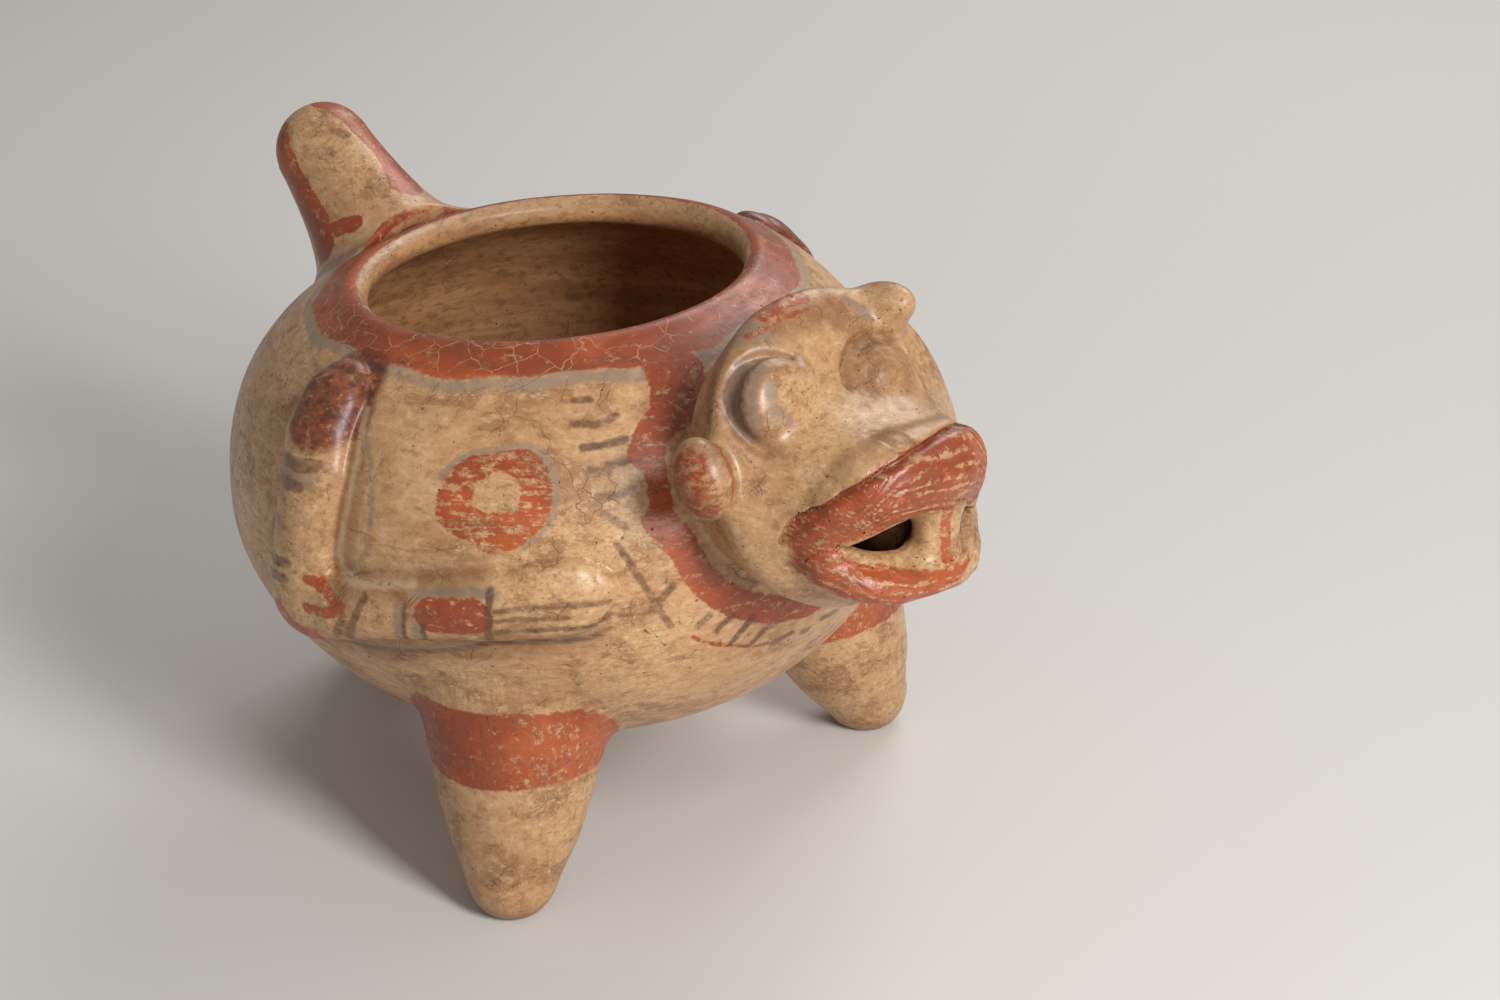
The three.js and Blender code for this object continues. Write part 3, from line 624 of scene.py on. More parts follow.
def hollow_cone(p, own, q, thick, fillet, vent_height, side):
    """A cone of clay melted on to the wall, hollowed down to it and cut by its vent."""
    off_wall = bowl_field(p)
    joined = melt(own, off_wall + skin_gap, fillet)
    joined = carve(joined, own + thick, 1.5)
    joined = carve(joined, slit_field(q, vent_height, side), vent_edge)
    return np.maximum(joined, np.maximum(own - fillet, -hidden_depth - off_wall))


def leg_field(p, angle):
    cone = hollow_cone(p, *leg_parts(p, angle), leg_wall, leg_fillet, leg_vent_height, 1)
    return carve(cone, p[:, 2], 1.2)


def skin(field, low, high, step):
    """Meshes the zero face of a field, one point to a cell, and presses the points on to it."""
    low = np.array(low, dtype=float)
    axes = [np.arange(a, b + step, step) for a, b in zip(low, high)]
    size = [len(a) for a in axes]
    grid = np.stack(np.meshgrid(*axes, indexing="ij"), -1)
    rough = grid[1::3, 1::3, 1::3]
    value = field(rough.reshape(-1, 3)).reshape(rough.shape[:3])
    for axis in range(3):
        nearest = np.minimum(np.arange(size[axis]) // 3, value.shape[axis] - 1)
        value = np.take(value, nearest, axis)
    close = np.abs(value) < 3.6 * step
    found = grid[close]
    parts = np.array_split(found, max(len(found) // 300000, 1))
    value[close] = np.concatenate([field(part) for part in parts])
    within = value < 0
    offsets = [(i, j, k) for i in (0, 1) for j in (0, 1) for k in (0, 1)]

    def corner(a, o):
        return a[o[0]:size[0] - 1 + o[0], o[1]:size[1] - 1 + o[1], o[2]:size[2] - 1 + o[2]]

    full = sum(corner(within, o).astype(int) for o in offsets)
    mixed = (full > 0) & (full < 8)
    ids = np.full(mixed.shape, -1)
    ids[mixed] = np.arange(mixed.sum())
    values = [corner(value, o)[mixed] for o in offsets]
    total, count = np.zeros((mixed.sum(), 3)), np.zeros((mixed.sum(), 1))
    for a in range(8):
        for b in range(a + 1, 8):
            run = np.subtract(offsets[b], offsets[a])
            if np.abs(run).sum() == 1:
                crossed = (values[a] < 0) != (values[b] < 0)
                share = values[a] / np.where(crossed, values[a] - values[b], 1)
                total += np.where(crossed[:, None], offsets[a] + share[:, None] * run, 0)
                count += crossed[:, None]
    points = (np.argwhere(mixed) + total / count) * step + low
    quads = []
    for axis in range(3):
        u, v = np.eye(3, dtype=int)[(axis + 1) % 3], np.eye(3, dtype=int)[(axis + 2) % 3]
        ahead = np.roll(within, -1, axis)
        at = np.argwhere(within != ahead)
        keep = (at > 0).all(1) & (at < np.array(size) - 1).all(1)
        at = at[keep]
        quad = np.column_stack([ids[tuple((at - m).T)] for m in (u + v, v, 0 * u, u)])
        out = within[tuple(at.T)]
        quads.append(np.where(out[:, None], quad, quad[:, ::-1]))
    quads = np.vstack(quads)
    for _ in range(2):
        pull, share = np.zeros_like(points), np.zeros(len(points))
        for a, b in ((0, 1), (1, 2), (2, 3), (3, 0)):
            for i in range(3):
                pull[:, i] += np.bincount(quads[:, a], points[quads[:, b], i], len(points))
            share += np.bincount(quads[:, a], minlength=len(points))
        points = points * 0.5 + pull / share[:, None] * 0.5
        points = press(points, field, 1, step * 0.6)
    points = press(points, field, 1, step * 0.5)
    return points, quads, unit(slope_of(field, points, 0.15))


def unpainted(p):
    return {colour: np.full(len(p), far_outside) for colour in marks}


def paint_leg(angle):
    def layers_at(p):
        q = leg_place(p, angle)
        way = np.arctan2(q[:, 0], q[:, 1])
        low_edge = p[:, 2] - 48.3 + 3.6 * np.cos(way) - 0.8 * np.sin(way * 3 + 1)
        own = np.maximum(cone_field(q, leg_tip, leg_taper), 0)
        high_edge = np.minimum(2.0 - own, 77.5 - p[:, 2]) - 0.5 * np.sin(way * 5 + 2)
        layers = unpainted(p)
        layers["red"] = np.where(p[:, 2] < 92, np.minimum(low_edge, high_edge), far_outside)
        # Darker towards the tip, within 5 mm of the floor
        layers["stain"] = 5 - p[:, 2]
        layers["inside"] = np.clip(-(leg_parts(p, angle)[0]) / 3 - 0.4, 0, 1)
        layers["rubbed"] = 0.25 + 0.25 * np.sin(way * 3 + 0.5)
        return layers
    return layers_at


def within(low, high):
    """Node corners in metres as a box in mm about the bowl's axis, a little larger."""
    low, high = np.array(low) * 1000 - outline_middle, np.array(high) * 1000 - outline_middle
    return low - box_margin, high + box_margin


leg_clay = slipware("slip_painted_earthenware_leg", (1.0, 1.0, 0.3), smoke_and_shade=0.12)
for name, angle in (("leg_front_right", front_legs[0]), ("leg_front_left", front_legs[1]),
                    ("leg_rear", rear_leg)):
    low_corner, high_corner = within(*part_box(name))
    low_corner[2] = start_below_soles
    points, quads, normals = skin(
        lambda p: leg_field(p, angle), low_corner, high_corner, cell)
    make(name, points, [quads], normals, paint_leg(angle), leg_clay)

# ------------------------------
# Tail. A blunt hollow cone that stands out of the back of the shoulder like a fourth leg, with a
# vent underneath. Two broad red stripes run down it, and a grey outline rings its root.
tail_tip_back, tail_tip_height, tail_rise, tail_tip = 129.3, 192.9, 43.0, 17.5
tail_fillet, tail_vent_height = 10.0, 41.0
tail_taper = [(17.3, 15.1), (18.0, 20.5), (19.8, 32.8), (22.0, 45.1), (25.1, 55.8), (29.5, 65.6),
              (35.2, 73.8), (38.7, 86.9)]


def tail_place(p):
    """Points in the frame of the tail, which stands on its tip at the origin."""
    q = turned(p - [0, tail_tip_back, tail_tip_height], 0, -90 - tail_rise)
    return q + [0, 0, tail_tip]


def tail_parts(p):
    q = tail_place(p)
    return cone_field(q, tail_tip, tail_taper) - hand(p * 1.3 + 40) * 1.2 + 0.4, q


def tail_field(p):
    cone = hollow_cone(p, *tail_parts(p), wall, tail_fillet, tail_vent_height, -1)
    flat = unsettle(p)
    return carve(cone, np.hypot(flat[:, 0], flat[:, 1]) - mouth_radius - rim_band - 0.4, 2.0)


def paint_tail(p):
    rim_red = slip_on_bowl(p)[0]["red"]
    own = cone_field(tail_place(p), tail_tip, tail_taper)
    layers = unpainted(p)
    stripes = [stroke(p, half, line) for half, line in (
        (7, [(-15, 136, 199), (-18, 131, 194), (-20, 125, 188), (-21, 117, 182),
             (-22, 109, 177), (-24, 102, 171)]),
        (7, [(4, 130, 209), (6, 123, 206), (9, 115, 202), (11, 108, 196), (10, 101, 191),
             (7, 93, 187)]),
        (7, [(16, 133, 196), (19, 122, 188), (22, 110, 180), (26, 100, 172)]),
        (3.2, [(-21, 98, 177), (-17, 91, 180)]))]
    layers["red"] = np.maximum(np.minimum(np.max(stripes, axis=0), 4.5 - own), rim_red)
    layers["grey"] = 2.6 - np.abs(own - 4.6)
    layers["umber"] = np.maximum(stroke(p, 1.7, [(-5, 116, 205), (-1, 114, 203)]),
                                 stroke(p, 1.3, [(-9, 113, 201), (-11, 111, 198)]))
    layers["rubbed"] = np.full(len(p), 0.3)
    layers["inside"] = np.clip(-(tail_parts(p)[0]) / 3 - 0.4, 0, 1)
    return layers


low_corner, high_corner = within(*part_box("tail"))
# The root's skirt runs down inside the wall, below the box of the node
low_corner, high_corner = low_corner - [box_margin, box_margin, 26], high_corner + box_margin
points, quads, normals = skin(tail_field, low_corner, high_corner, cell)
tail_clay = slipware("slip_painted_earthenware_tail", (1.0, 0.3, 0.3), smoke_and_shade=0.14)
make("tail", points, [quads], normals, paint_tail, tail_clay)

# ------------------------------
# Head. A hollow shell of clay: a broad shallow face that leans back, and a blunt muzzle drawn out
# of it. Two thick rolls make the lips of the open mouth, a bar of clay the tongue, and pellets
# and pinched lobes the eyes and ears. All were smoothed into each other while wet.
face_side, face_reach, face_height, face_lean = 1.5, 123.5, 158.9, 22.0
face_width, face_rise, face_depth, neck = 51.0, 49.0, 13.0, 46.0
face_roundness, dome_roundness = 2.1, 2.5
# How wide the shell is behind the face, as a share, from the neck up to the face's edge
neck_rows = [(-1, 0.50), (-0.75, 0.63), (-0.5, 0.74), (-0.3, 0.85), (-0.16, 0.94), (-0.06, 0.988),
             (0, 1)]
muzzle_root, muzzle_reach, muzzle_height, muzzle_tilt = 128.0, 165.0, 148.0, 7.0
# The muzzle from its root to its front: how far out, and its width and height as shares
muzzle_half_width, muzzle_half_height = 36, 24.5
muzzle_rows = [(0, 1.0, 1.08), (0.35, 0.95, 1.04), (0.62, 0.91, 1.0), (0.82, 0.82, 0.95),
               (0.94, 0.66, 0.82), (1, 0.42, 0.60)]
lip_reach, lip_width, lip_sweep = 171.0, 34.0, 18.0
# Either lip from its middle to the corner of the mouth: distance out, height, half height
upper_rows = [(0, 162.3, 14.5), (10, 161.8, 14.5), (18, 159.3, 13.5), (24, 154.6, 11.2),
              (27.8, 149.5, 8.8), (29.6, 144.3, 7.0), (29.4, 138.6, 6.4)]
lower_rows = [(0, 130.2, 6.8), (10, 130.2, 6.8), (18, 130.6, 6.5), (24, 132, 6.4),
              (27.8, 134.6, 6.4), (29.2, 138, 6.4)]


def face_place(p):
    """Points in the frame of the face: to the left, up it, and out of it."""
    return turned(p - [face_side, -face_reach, face_height], 0, face_lean - 90)


def muzzle_place(p):
    """Points about the muzzle, which hangs a little to one side."""
    return turned(p - [0, 0, muzzle_height], 1, -muzzle_tilt) + [0, 0, muzzle_height]


def power_gap(x, y, width, rise, power):
    """About how far a point lies outside a rounded outline, in mm."""
    a, b = np.maximum(np.abs(x) / width, 1e-4), np.maximum(np.abs(y) / rise, 1e-4)
    k = (a ** power + b ** power) ** (1 / power)
    return (k - 1) / (k ** (1 - power) * np.hypot(a ** (power - 1) / width,
                                                  b ** (power - 1) / rise))


def face_field(p):
    q = face_place(p)
    x, y, z = np.where(q[:, 0] < 0, q[:, 0] * 1.05, q[:, 0]), q[:, 1], q[:, 2]
    share = np.interp(z / neck, [r[0] for r in neck_rows], [r[1] for r in neck_rows])
    behind = power_gap(x, y, face_width * share, face_rise * share, face_roundness) / 1.08
    k = (np.abs(x / face_width) ** face_roundness
         + np.abs(y / face_rise) ** face_roundness) ** (1 / face_roundness)
    dome = k ** dome_roundness + (z / face_depth) ** 2 - 1
    steep = np.hypot(2.5 * k ** 1.5 / 50, 2 * z / face_depth ** 2)
    before = dome / np.maximum(steep, 0.012)
    return np.where(z > 0, before, behind)


def muzzle_field(p):
    q = muzzle_place(p)
    reach = (-q[:, 1] - muzzle_root) / (muzzle_reach - muzzle_root)
    rows = np.array(muzzle_rows)
    w, h = np.interp(reach, rows[:, 0], rows[:, 1]), np.interp(reach, rows[:, 0], rows[:, 2])
    side = power_gap(q[:, 0], q[:, 2] - muzzle_height - 2, muzzle_half_width * w,
                     muzzle_half_height * h, 2.6)
    steep = np.interp(reach, [0.3, 0.7, 0.9, 1], [0, 0.25, 0.6, 0.8])
    side = side / np.hypot(1, steep)
    return -melt(-np.maximum(side, -0.9 * (reach + 0.6) * 40), -(reach - 1) * 37, 5)


def sweep_field(p, middles, outs, across, stands):
    """A roll of clay laid along a line: half widths across it, and half depths along outs."""
    best = np.full(len(p), 1e3)
    for i in range(len(middles) - 1):
        run = middles[i + 1] - middles[i]
        t = np.clip((p - middles[i]) @ run / (run @ run), 0, 1)
        gap = p - middles[i] - t[:, None] * run
        out = outs[i] + t[:, None] * (outs[i + 1] - outs[i])
        depth = (gap * out).sum(1)
        rest = np.maximum((gap ** 2).sum(1) - depth ** 2, 0)
        w = across[i] + t * (across[i + 1] - across[i])
        s = stands[i] + t * (stands[i + 1] - stands[i])
        k0 = np.sqrt(rest / w ** 2 + depth ** 2 / s ** 2)
        k1 = np.sqrt(rest / w ** 4 + depth ** 2 / s ** 4)
        best = np.minimum(best, k0 * (k0 - 1) / np.maximum(k1, 1e-6))
    return best


def lip_line(rows, reach, depth):
    """The middle line of a lip from corner to corner, and the shape of the roll along it."""
    rows = np.array(rows, dtype=float)
    rows = np.vstack([rows[:0:-1] * [-1, 1, 1], rows])
    share = np.clip(np.abs(rows[:, 0]) / lip_width, 0, 1)
    half_depth = depth / 2 * (0.55 + 0.45 * (1 - share ** 4))
    middles = np.column_stack([rows[:, 0], lip_sweep * share ** 2.8 - reach + depth / 2,
                               rows[:, 1]])
    run = unit(np.gradient(middles, axis=0))
    outs = unit(np.array([0, -1, 0]) + run * run[:, 1:2])
    return middles, outs, rows[:, 2], half_depth


upper_roll = lip_line(upper_rows, lip_reach - 0.4, 24)
lower_roll = lip_line(lower_rows, lip_reach + 1.2, 19)


def tongue_field(q):
    share = np.clip((q[:, 2] - 131) / 31, 0, 1)
    waist = 1 - 0.15 * np.sin(math.pi * share)
    side = power_gap(q[:, 0] - 6, q[:, 1] + 163.0, 9.5 * waist, 6.5 * waist, 2.6)
    return np.maximum(side, np.abs(q[:, 2] - 146.5) - 17)


def pellet_field(p, turn, out, width, rise, stand):
    """A pellet of clay on the face, at a turn round it and a share of the way out to its edge."""
    c, s = math.cos(math.radians(turn)), math.sin(math.radians(turn))
    lift = face_depth * math.sqrt(max(1 - out ** 2.5, 0))
    q = face_place(p) - [c * out * face_width, s * out * face_rise, lift]
    k0 = np.linalg.norm(q / [width / 2, rise / 2, stand], axis=1)
    k1 = np.linalg.norm(q / np.square([width / 2, rise / 2, stand]), axis=1)
    return k0 * (k0 - 1) / np.maximum(k1, 1e-6)


# Each pellet's turn, way out, width, height and how far it stands out
pellets = {
    "eye_right": (137, 0.67, 33, 29, 6.8), "eye_left": (44, 0.44, 24, 24, 7.5),
    "ear_right": (172, 1.05, 16, 26, 10), "ear_left": (49, 0.96, 15, 15, 13),
}
# Grooves: depth and width in mm, and a line over the face. The first runs round the right eye,
# the second above the upper lip, the third is a small ring between them, and the last two lie
# round the left eye.
face_grooves = [
    (1.7, 2.1, [(-14, 31), (-20, 34.6), (-27, 35.6), (-33.5, 33.4), (-38.3, 28.2), (-40, 21),
                (-38.5, 14), (-35, 8)]),
    (1.8, 1.0, [(-40, -19), (-38, -13.5), (-35, -10), (-28.5, -6.2), (-20, -4), (-11, -2.2),
                (4, -0.5), (16, -0.7), (27, -4)]),
    (0.5, 0.9, [(-10, 0.2), (-7.5, 1.6), (-7.5, 4.1), (-10, 5.6), (-13, 5.1), (-14, 2.6),
                (-12.6, 0.6), (-10, 0.2)]),
    (2.6, 1.8, [(-1, 17), (3, 24.5), (10, 29.5), (19, 30), (27, 25), (30, 18)]),
    (0.5, 1.4, [(5, 14), (7, 20), (13, 24), (20, 22), (23, 16)]),
]


def groove(p):
    """How deep a fingernail or a tool pressed a line into the face, in mm."""
    q = face_place(p)
    deep = np.zeros(len(p))
    for depth, width, line in face_grooves:
        ends = np.array(line, dtype=float)
        rounded = np.stack([ends[:-1] * 0.75 + ends[1:] * 0.25,
                            ends[:-1] * 0.25 + ends[1:] * 0.75], axis=1).reshape(-1, 2)
        deep = np.maximum(deep, depth * np.exp(-(line_gap(q[:, :2], rounded) / width) ** 2))
    return deep * np.clip((q[:, 2] + 1) / 4, 0, 1)


def lip_crease(p):
    """How far a point of the face lies below the line where the upper lip begins, in mm."""
    q = face_place(p)
    line = np.interp(q[:, 0], [-40, -37, -30, -21, -13, 9, 26], [-15, -8.5, -4, 0, 1.5, 2.5, -2])
    return np.where(muzzle_place(p)[:, 2] > 146, line - q[:, 1], 9)


def lip_wrinkles(p):
    """Lines drawn along the lips that close up towards the corners: -1 in one, 1 between two."""
    m = muzzle_place(p)
    out = np.abs(m[:, 0])
    up, low = np.array(upper_rows)[:-1].T, np.array(lower_rows).T
    upper = (m[:, 2] - np.interp(out, up[0], up[1])) / np.interp(out, up[0], up[2])
    lower = (m[:, 2] - np.interp(out, low[0], low[1])) / np.interp(out, low[0], low[2]) * 0.5
    across = np.where(m[:, 2] > 144 - 0.1 * out, upper, lower) * 13 - 0.3 * m[:, 1]
    wave = across * 2.3 + 0.9 * np.sin(m[:, 0] / 6) + 0.7 * np.sin(m[:, 0] / 2.9 + across * 0.8)
    return np.sin(wave) * (0.6 + 0.4 * np.sin(m[:, 0] / 7 + across * 0.9))


def head_forms(p):
    """The fields of the head's pieces of clay, by the names of their nodes."""
    q = muzzle_place(p)
    forms = {"head_shell": melt(face_field(p), muzzle_field(p), 18),
             "upper_lip": sweep_field(q, *upper_roll), "lower_lip": sweep_field(q, *lower_roll),
             "tongue": tongue_field(q)}
    return forms | {name: pellet_field(p, *sizes) for name, sizes in pellets.items()}


def mouth_field(p):
    """The open mouth: a wide lens between the lips that narrows to a small hole behind them."""
    q = muzzle_place(p)
    front = lip_reach - lip_sweep * np.abs(np.clip(q[:, 0] / lip_width, -1, 1)) ** 2.8
    deep = np.clip((front + q[:, 1] - 2) / 11, 0, 1)
    deep = deep * deep * (3 - 2 * deep)
    half, rise = 28 - 4 * deep, 8.5 - 3.2 * deep
    share = np.clip(np.abs(q[:, 0]) / half, 0, 1.2)
    lens = np.abs(q[:, 2] - muzzle_height + 4.3) - rise * (1 - share ** 2)
    return lens / np.hypot(1, 20 * share / 32)


def head_field(p):
    """The whole head in one skin: pieces smoothed together, pressed, and then hollowed."""
    forms = head_forms(p)
    shell = forms["head_shell"]
    whole = melt(shell, bowl_field(p) + skin_gap, 3)
    lips = melt(forms["upper_lip"], forms["lower_lip"], 3)
    whole = melt(whole, lips, 2.2)
    for name, k in (("eye_right", 2.5), ("eye_left", 3), ("ear_right", 4), ("ear_left", 7)):
        whole = melt(whole, forms[name], k)
    whole = whole + groove(p) - hand(p * 1.5 + 90) * 1.6
    on_lips = np.clip(1.6 - lips / 2, 0, 1) * np.clip(lip_crease(p) / 3, 0, 1)
    on_lips = on_lips * np.clip((32 - np.abs(muzzle_place(p)[:, 0])) / 10, 0.25, 1)
    whole = whole - 0.25 * lip_wrinkles(p) * on_lips
    whole = carve(whole, np.maximum(mouth_field(p), 128 + p[:, 1]), 3)
    whole = carve(whole, shell + wall, 2)
    whole = melt(whole, forms["tongue"], 5)
    reach = np.minimum(shell, np.minimum(forms["ear_right"], forms["ear_left"])) - 7
    reach = np.minimum(reach, np.minimum(forms["upper_lip"], forms["lower_lip"]) - 7)
    return np.maximum(whole, np.maximum(reach, -hidden_depth - bowl_field(p)))


def shared_out(points, quads, normals, forms, base, pressed=1.0):
    """Parts one smoothed skin into its pieces of clay, each closed by the bed it was pressed in."""
    middle = points[quads].mean(1)
    fields = forms(middle)
    names = list(fields)
    nearest = np.stack([fields[n] + (0.4 if n == base else 0) for n in names]).argmin(0)
    for _ in range(4):
        votes = np.stack([np.bincount(quads[nearest == i].ravel(), minlength=len(points))
                          for i in range(len(names))])
        nearest = votes[:, quads].sum(2).argmax(0)
    for _ in range(5):
        owners = [np.isin(np.arange(len(points)), quads[nearest == i])
                  for i in range(len(names))]
        lone = np.sum(owners, axis=0) == 1
        thin = ~lone[quads].any(1) & (nearest != names.index(base))
        if not thin.any():
            break
        nearest[thin] = names.index(base)
    beds = np.where(lone[:, None], points - normals * pressed, points)
    both_points, both_normals = np.vstack([points, beds]), np.vstack([normals, normals])
    parts = {}
    base_faces = [quads[nearest == names.index(base)]]
    for i, name in enumerate(names):
        own = quads[nearest == i]
        if name != base:
            bed = np.where(lone[own], own + len(points), own)
            parts[name] = [own, bed[:, ::-1]]
            base_faces.append(bed)
    parts[base] = base_faces
    return both_points, both_normals, parts


def paint_head(p):
    layers = slip_on_bowl(p)[0]
    off_bowl = bowl_field(p) > 2
    for colour in marks:
        layers[colour] = np.where(off_bowl, far_outside, layers[colour])
    q, m = face_place(p), muzzle_place(p)
    forms = head_forms(p)
    front = -m[:, 1] - (lip_reach - 12 - lip_sweep * np.abs(np.clip(m[:, 0] / 34, -1, 1)) ** 2.8)
    lips = np.minimum.reduce([
        1.2 - np.minimum(forms["upper_lip"], forms["lower_lip"]), lip_crease(p) - 1.8, front + 1,
        np.abs(m[:, 2] - 143.7) - 9.5 * (1 - np.clip(m[:, 0] / 28, -1, 1) ** 2),
        np.where(m[:, 2] < 146, (11 - m[:, 0] + 0.9 * (m[:, 2] - 130)
                                 + 2 * np.sin(m[:, 2])) * 0.5, 9),
        forms["tongue"] - 0.5])
    add(layers, "red", lips)
    tongue_red = 2.2 - np.abs(m[:, 0] - 4 + 0.1 * (m[:, 2] - 148))
    add(layers, "red", np.where(forms["tongue"] < 1, tongue_red, far_outside))
    ear = forms["ear_right"]
    add(layers, "red", np.minimum(0.2 - ear, 5 - np.hypot(
        (q[:, 2] - 2) * 0.7, (q[:, 1] - 7) * 0.45)))
    add(layers, "grey", np.minimum(1.2 - ear, -0.8 - layers["red"]))

    def on_face(colour, lowest, *strokes):
        """Strokes on the flat of the face, which lies above a height in the face's own frame."""
        value = np.max([stroke(q[:, :2], half, line) for half, line in strokes], axis=0)
        add(layers, colour, np.where(q[:, 2] > lowest, value, far_outside))

    eye_groove, crease, _, far_eye_groove, _ = [line for _, _, line in face_grooves]
    on_face("red", -5, (1.5, [(-16, 45.5), (-8, 47.5), (2, 47.5)]),
            (0.7, [(-24, 42), (-12, 44), (0, 44)]))
    # Grey on the head: slip on the top left; the stroke beside the left ear and the two round the
    # right eye's groove are painted shade
    on_face("grey", 0, (3.2, [(-36, 42), (-27, 44), (-20, 43)]), (2.2, [(17, 41), (21, 36)]),
            (1.8, [(-38.5, 15), (-39, 22), (-36.5, 29), (-29, 34.5)]),
            (2.0, [(-28, 16), (-33, 21), (-31, 28)]))
    # Brown painted shade along every groove, and darker patches inside the left eye and across the
    # upper face
    on_face("stain", -5, (3.5, [(8, 16), (14, 20), (21, 17), (18, 12)]),
            (5.0, [(-34, 34), (-22, 41), (-6, 43), (12, 41)]),
            *[(1.2 * width, line) for _, width, line in face_grooves])
    # Painted shade, with some dirt, as thin brown lines in the crease above the lip and round the
    # upper edges of the eyes
    on_face("umber", 0, (0.4, crease[2:]), (0.35, far_eye_groove), (0.3, eye_groove[:6]))
    layers["inside"] = np.clip(-forms["head_shell"] / 2 - 1.5, 0, 1)
    layers["rubbed"] = np.where(lips > -2, 0.38 + 1.0 * lip_wrinkles(p), np.where(
        forms["ear_right"] < 2, 0.1, 0.6))
    return layers


low_corner, high_corner = within(*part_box("head_shell"))
lip_low, _ = within(*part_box("lower_lip"))
ear_low, _ = within(*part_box("ear_right"))
low_corner = np.minimum(low_corner, np.minimum(lip_low, ear_low))
points, quads, normals = skin(head_field, low_corner, high_corner, fine_cell)
points, normals, parts = shared_out(points, quads, normals, head_forms, "head_shell")
head_clay = slipware("slip_painted_earthenware_head", (0.6, 0.6, 0.6), smoke_and_shade=0.14)
for name, faces in parts.items():
    make(name, points, faces, normals, paint_head, head_clay)

# ------------------------------
# Arms. Coils of clay laid on the wall on either side, bent at a sharp elbow so that the forearm
# runs forward to a flat paw with painted fingers. The left one stands out less.
arm_stand, left_share = 8.3, 0.70
upper_arm_half_width, forearm_half_width, paw_half_width, paw_stand = 13.5, 11.5, 10.5, 7.0
# A limb's middle line: turn from the head, share of the way up from the widest line to the top,
# and shares of the half width and of how far it stands out
upper_arm_rows = [
    (89, 0.73, 0.40, 0.30), (89, 0.70, 0.70, 0.80), (89, 0.65, 0.88, 1.10), (89, 0.55, 0.94, 1.15),
    (88, 0.43, 0.95, 0.95), (88, 0.30, 0.92, 0.85), (88.5, 0.15, 0.95, 0.85), (89, 0, 1, 1),
    (89, -0.10, 1, 1.12), (89, -0.13, 0.85, 0.95)]
forearm_rows = [
    (88, -0.12, 0.9, 0.8), (86, -0.10, 1.05, 1.05), (81, -0.07, 1, 1), (74, -0.02, 0.95, 0.85),
    (66, 0.025, 0.95, 0.8), (60, 0.05, 0.95, 0.8), (55, 0.07, 0.95, 0.75)]
paw_rows = [
    (56, 0.068, 0.95, 0.90), (51, 0.08, 1.1, 1), (46, 0.10, 1.22, 1.05), (42, 0.115, 1.2, 1),
    (39, 0.13, 0.85, 0.7)]


def limb(rows, half_width, stand, side):
    """The roll of clay of one limb, laid along the wall."""
    rows = np.array(rows)
    middles = on_wall(rows[:, 0] * side, equator + rows[:, 1] * upper_height)
    outs = unit(slope_of(bowl_field, middles))
    return middles, outs, half_width * rows[:, 2], stand * rows[:, 3]


def arm_forms(side, share):
    name = "right" if side > 0 else "left"
    shapes = {
        "upper_arm_" + name: limb(upper_arm_rows, upper_arm_half_width, arm_stand * share, side),
        "forearm_" + name: limb(forearm_rows, forearm_half_width, arm_stand * share, side),
        "paw_" + name: limb(paw_rows, paw_half_width, paw_stand * share, side),
    }
    return lambda p: {n: sweep_field(p, *shape) for n, shape in shapes.items()}


def arm_field(p, forms):
    upper, fore, paw = forms(p).values()
    own = melt(melt(upper, fore, 2.5), paw, 5)
    joined = melt(own, bowl_field(p) + skin_gap, 1.5)
    return np.maximum(joined, np.maximum(own - 1.5, -hidden_depth - bowl_field(p)))


def capped(points, quads, normals, forms):
    """Parts one skin into pieces, each closed by a flat cap where it meets the next."""
    middle = points[quads].mean(1)
    fields = forms(middle)
    names = list(fields)
    nearest = np.stack(list(fields.values())).argmin(0)
    edges = {}
    for q, owner in zip(quads.tolist(), nearest.tolist()):
        for a, b in zip(q, q[1:] + q[:1]):
            edges[(a, b)] = owner
    caps = {}
    for (a, b), owner in edges.items():
        other = edges.get((b, a), owner)
        if other != owner:
            caps.setdefault((owner, other), []).append((b, a))
    faces = {n: [quads[nearest == i]] for i, n in enumerate(names)}
    for (owner, other), rim in caps.items():
        if owner < other:
            points = np.vstack([points, points[np.unique(rim)].mean(0)])
            normals = np.vstack([normals, [0, 0, 1]])
            tip = len(points) - 1
            fan = np.array([(a, b, tip) for a, b in rim])
            faces[names[owner]].append(fan)
            faces[names[other]].append(fan[:, [1, 0, 2]])
    return points, normals, faces


def paint_arm(p):
    return slip_on_bowl(p)[0] | {"inside": np.zeros(len(p))}


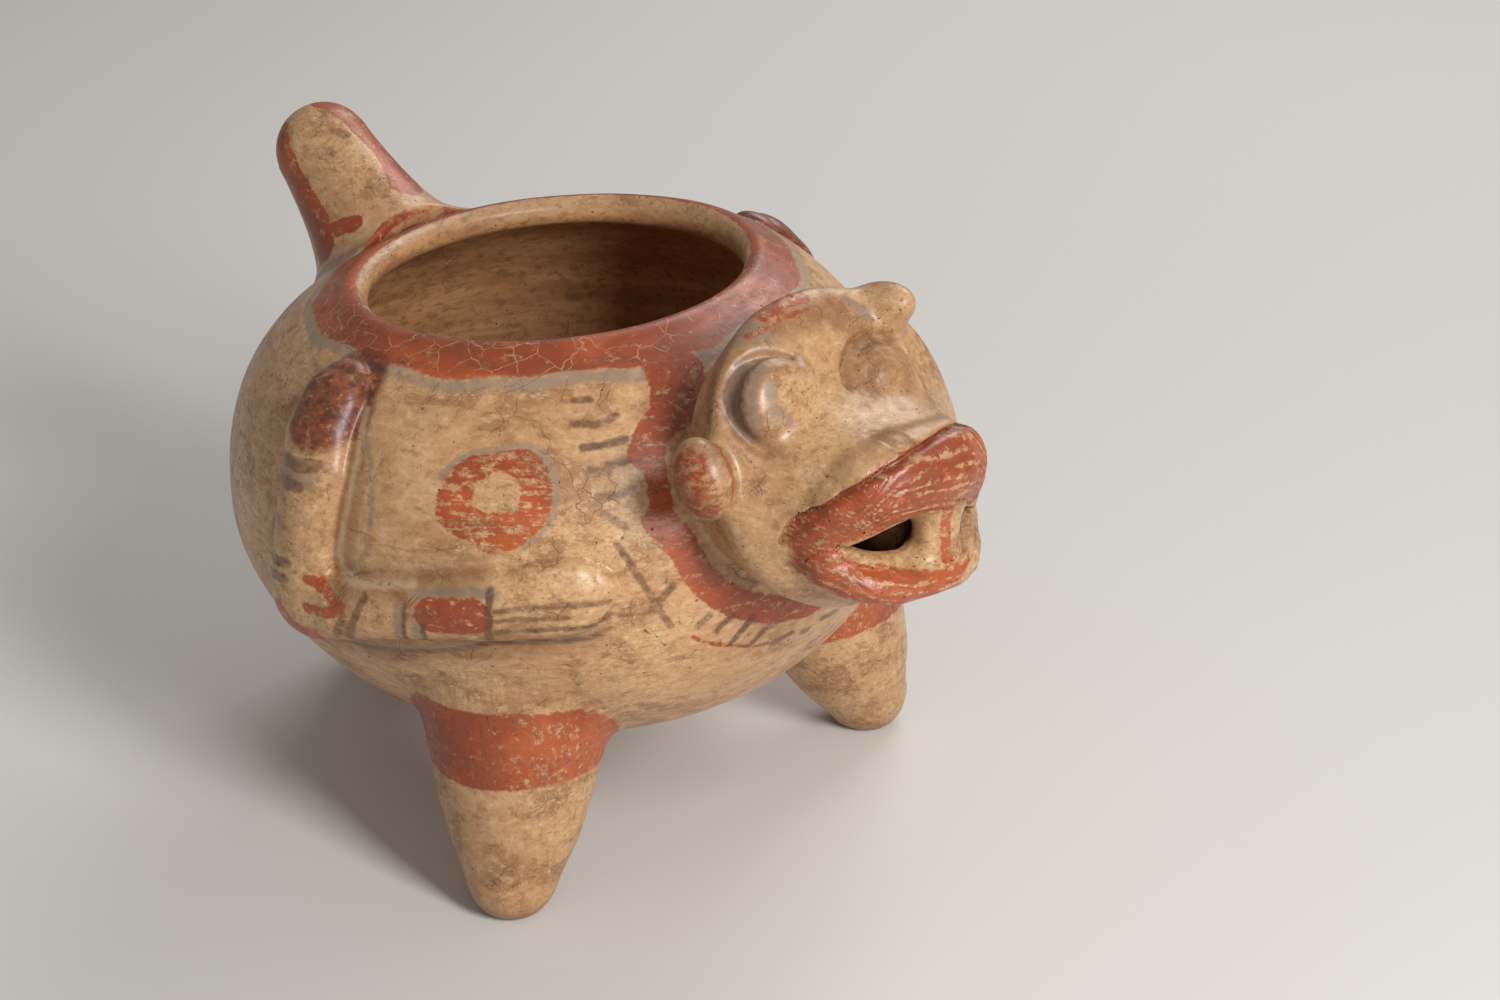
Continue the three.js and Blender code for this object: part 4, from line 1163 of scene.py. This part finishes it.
arm_clay = slipware("slip_painted_earthenware_arm", (0.5, 0.5, 0.5))
for side, share, name in ((1, 1.0, "right"), (-1, left_share, "left")):
    forms = arm_forms(side, share)
    boxes = [within(*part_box(part + name)) for part in ("upper_arm_", "forearm_", "paw_")]
    low_corner = np.min([b[0] for b in boxes], axis=0)
    high_corner = np.max([b[1] for b in boxes], axis=0)
    points, quads, normals = skin(lambda p: arm_field(p, forms), low_corner, high_corner, 1.0)
    points, normals, parts = capped(points, quads, normals, forms)
    for part, faces in parts.items():
        make(part, points, faces, normals, paint_arm, arm_clay)

# ------------------------------
# Studio: a pale seamless floor, a soft lamp in front of the animal, as in the photograph, a
# weaker one behind its left side, and the camera where the photographer stood.
floor_mesh = bpy.data.meshes.new("studio_floor")
far = 6.0
floor_mesh.from_pydata([(-far, -far, 0), (far, -far, 0), (far, far, 0), (-far, far, 0)], [],
                       [(0, 1, 2, 3)])
floor = placed("studio_floor", floor_mesh)
paper = bpy.data.materials.new("pale_seamless_paper")
paper.use_nodes = True
paper.node_tree.nodes["Principled BSDF"].inputs["Base Color"].default_value = hexed("#D6D3CE")
paper.node_tree.nodes["Principled BSDF"].inputs["Roughness"].default_value = 0.9
floor_mesh.materials.append(paper)


def softbox(name, place, aim, width, height, watts):
    lamp = bpy.data.lights.new(name, "AREA")
    lamp.shape, lamp.size, lamp.size_y, lamp.energy = "RECTANGLE", width, height, watts
    holder = placed(name, lamp)
    holder.location = place
    back = unit(np.array(place) - np.array(aim))
    right = unit(np.cross([0, 0, 1], back))
    aimed = np.column_stack([right, np.cross(back, right), back])
    holder.rotation_euler = Matrix(aimed.tolist()).to_euler()


softbox("key_softbox", (-0.15, -1.32, 0.9), (0, 0, 0.1), 0.35, 0.8, 22)
softbox("rim_softbox", (1.1, 0.4, 1.1), (0, 0, 0.12), 0.8, 0.8, 8)
world = bpy.data.worlds.new("studio")
bpy.context.scene.world = world
world.use_nodes = True
world.node_tree.nodes["Background"].inputs[0].default_value = hexed("#F4F3F1")
world.node_tree.nodes["Background"].inputs[1].default_value = 0.32

lens = bpy.data.cameras.new("photo_camera")
lens.lens, lens.sensor_width = 72, 36
camera = placed("photo_camera", lens)
camera.location = (-0.59437, -0.69581, 0.56023)
camera.rotation_euler = [math.radians(a) for a in (63.3535, 0.892, -44.2316)]
bpy.context.scene.camera = camera
bpy.context.scene.view_settings.view_transform = "Standard"
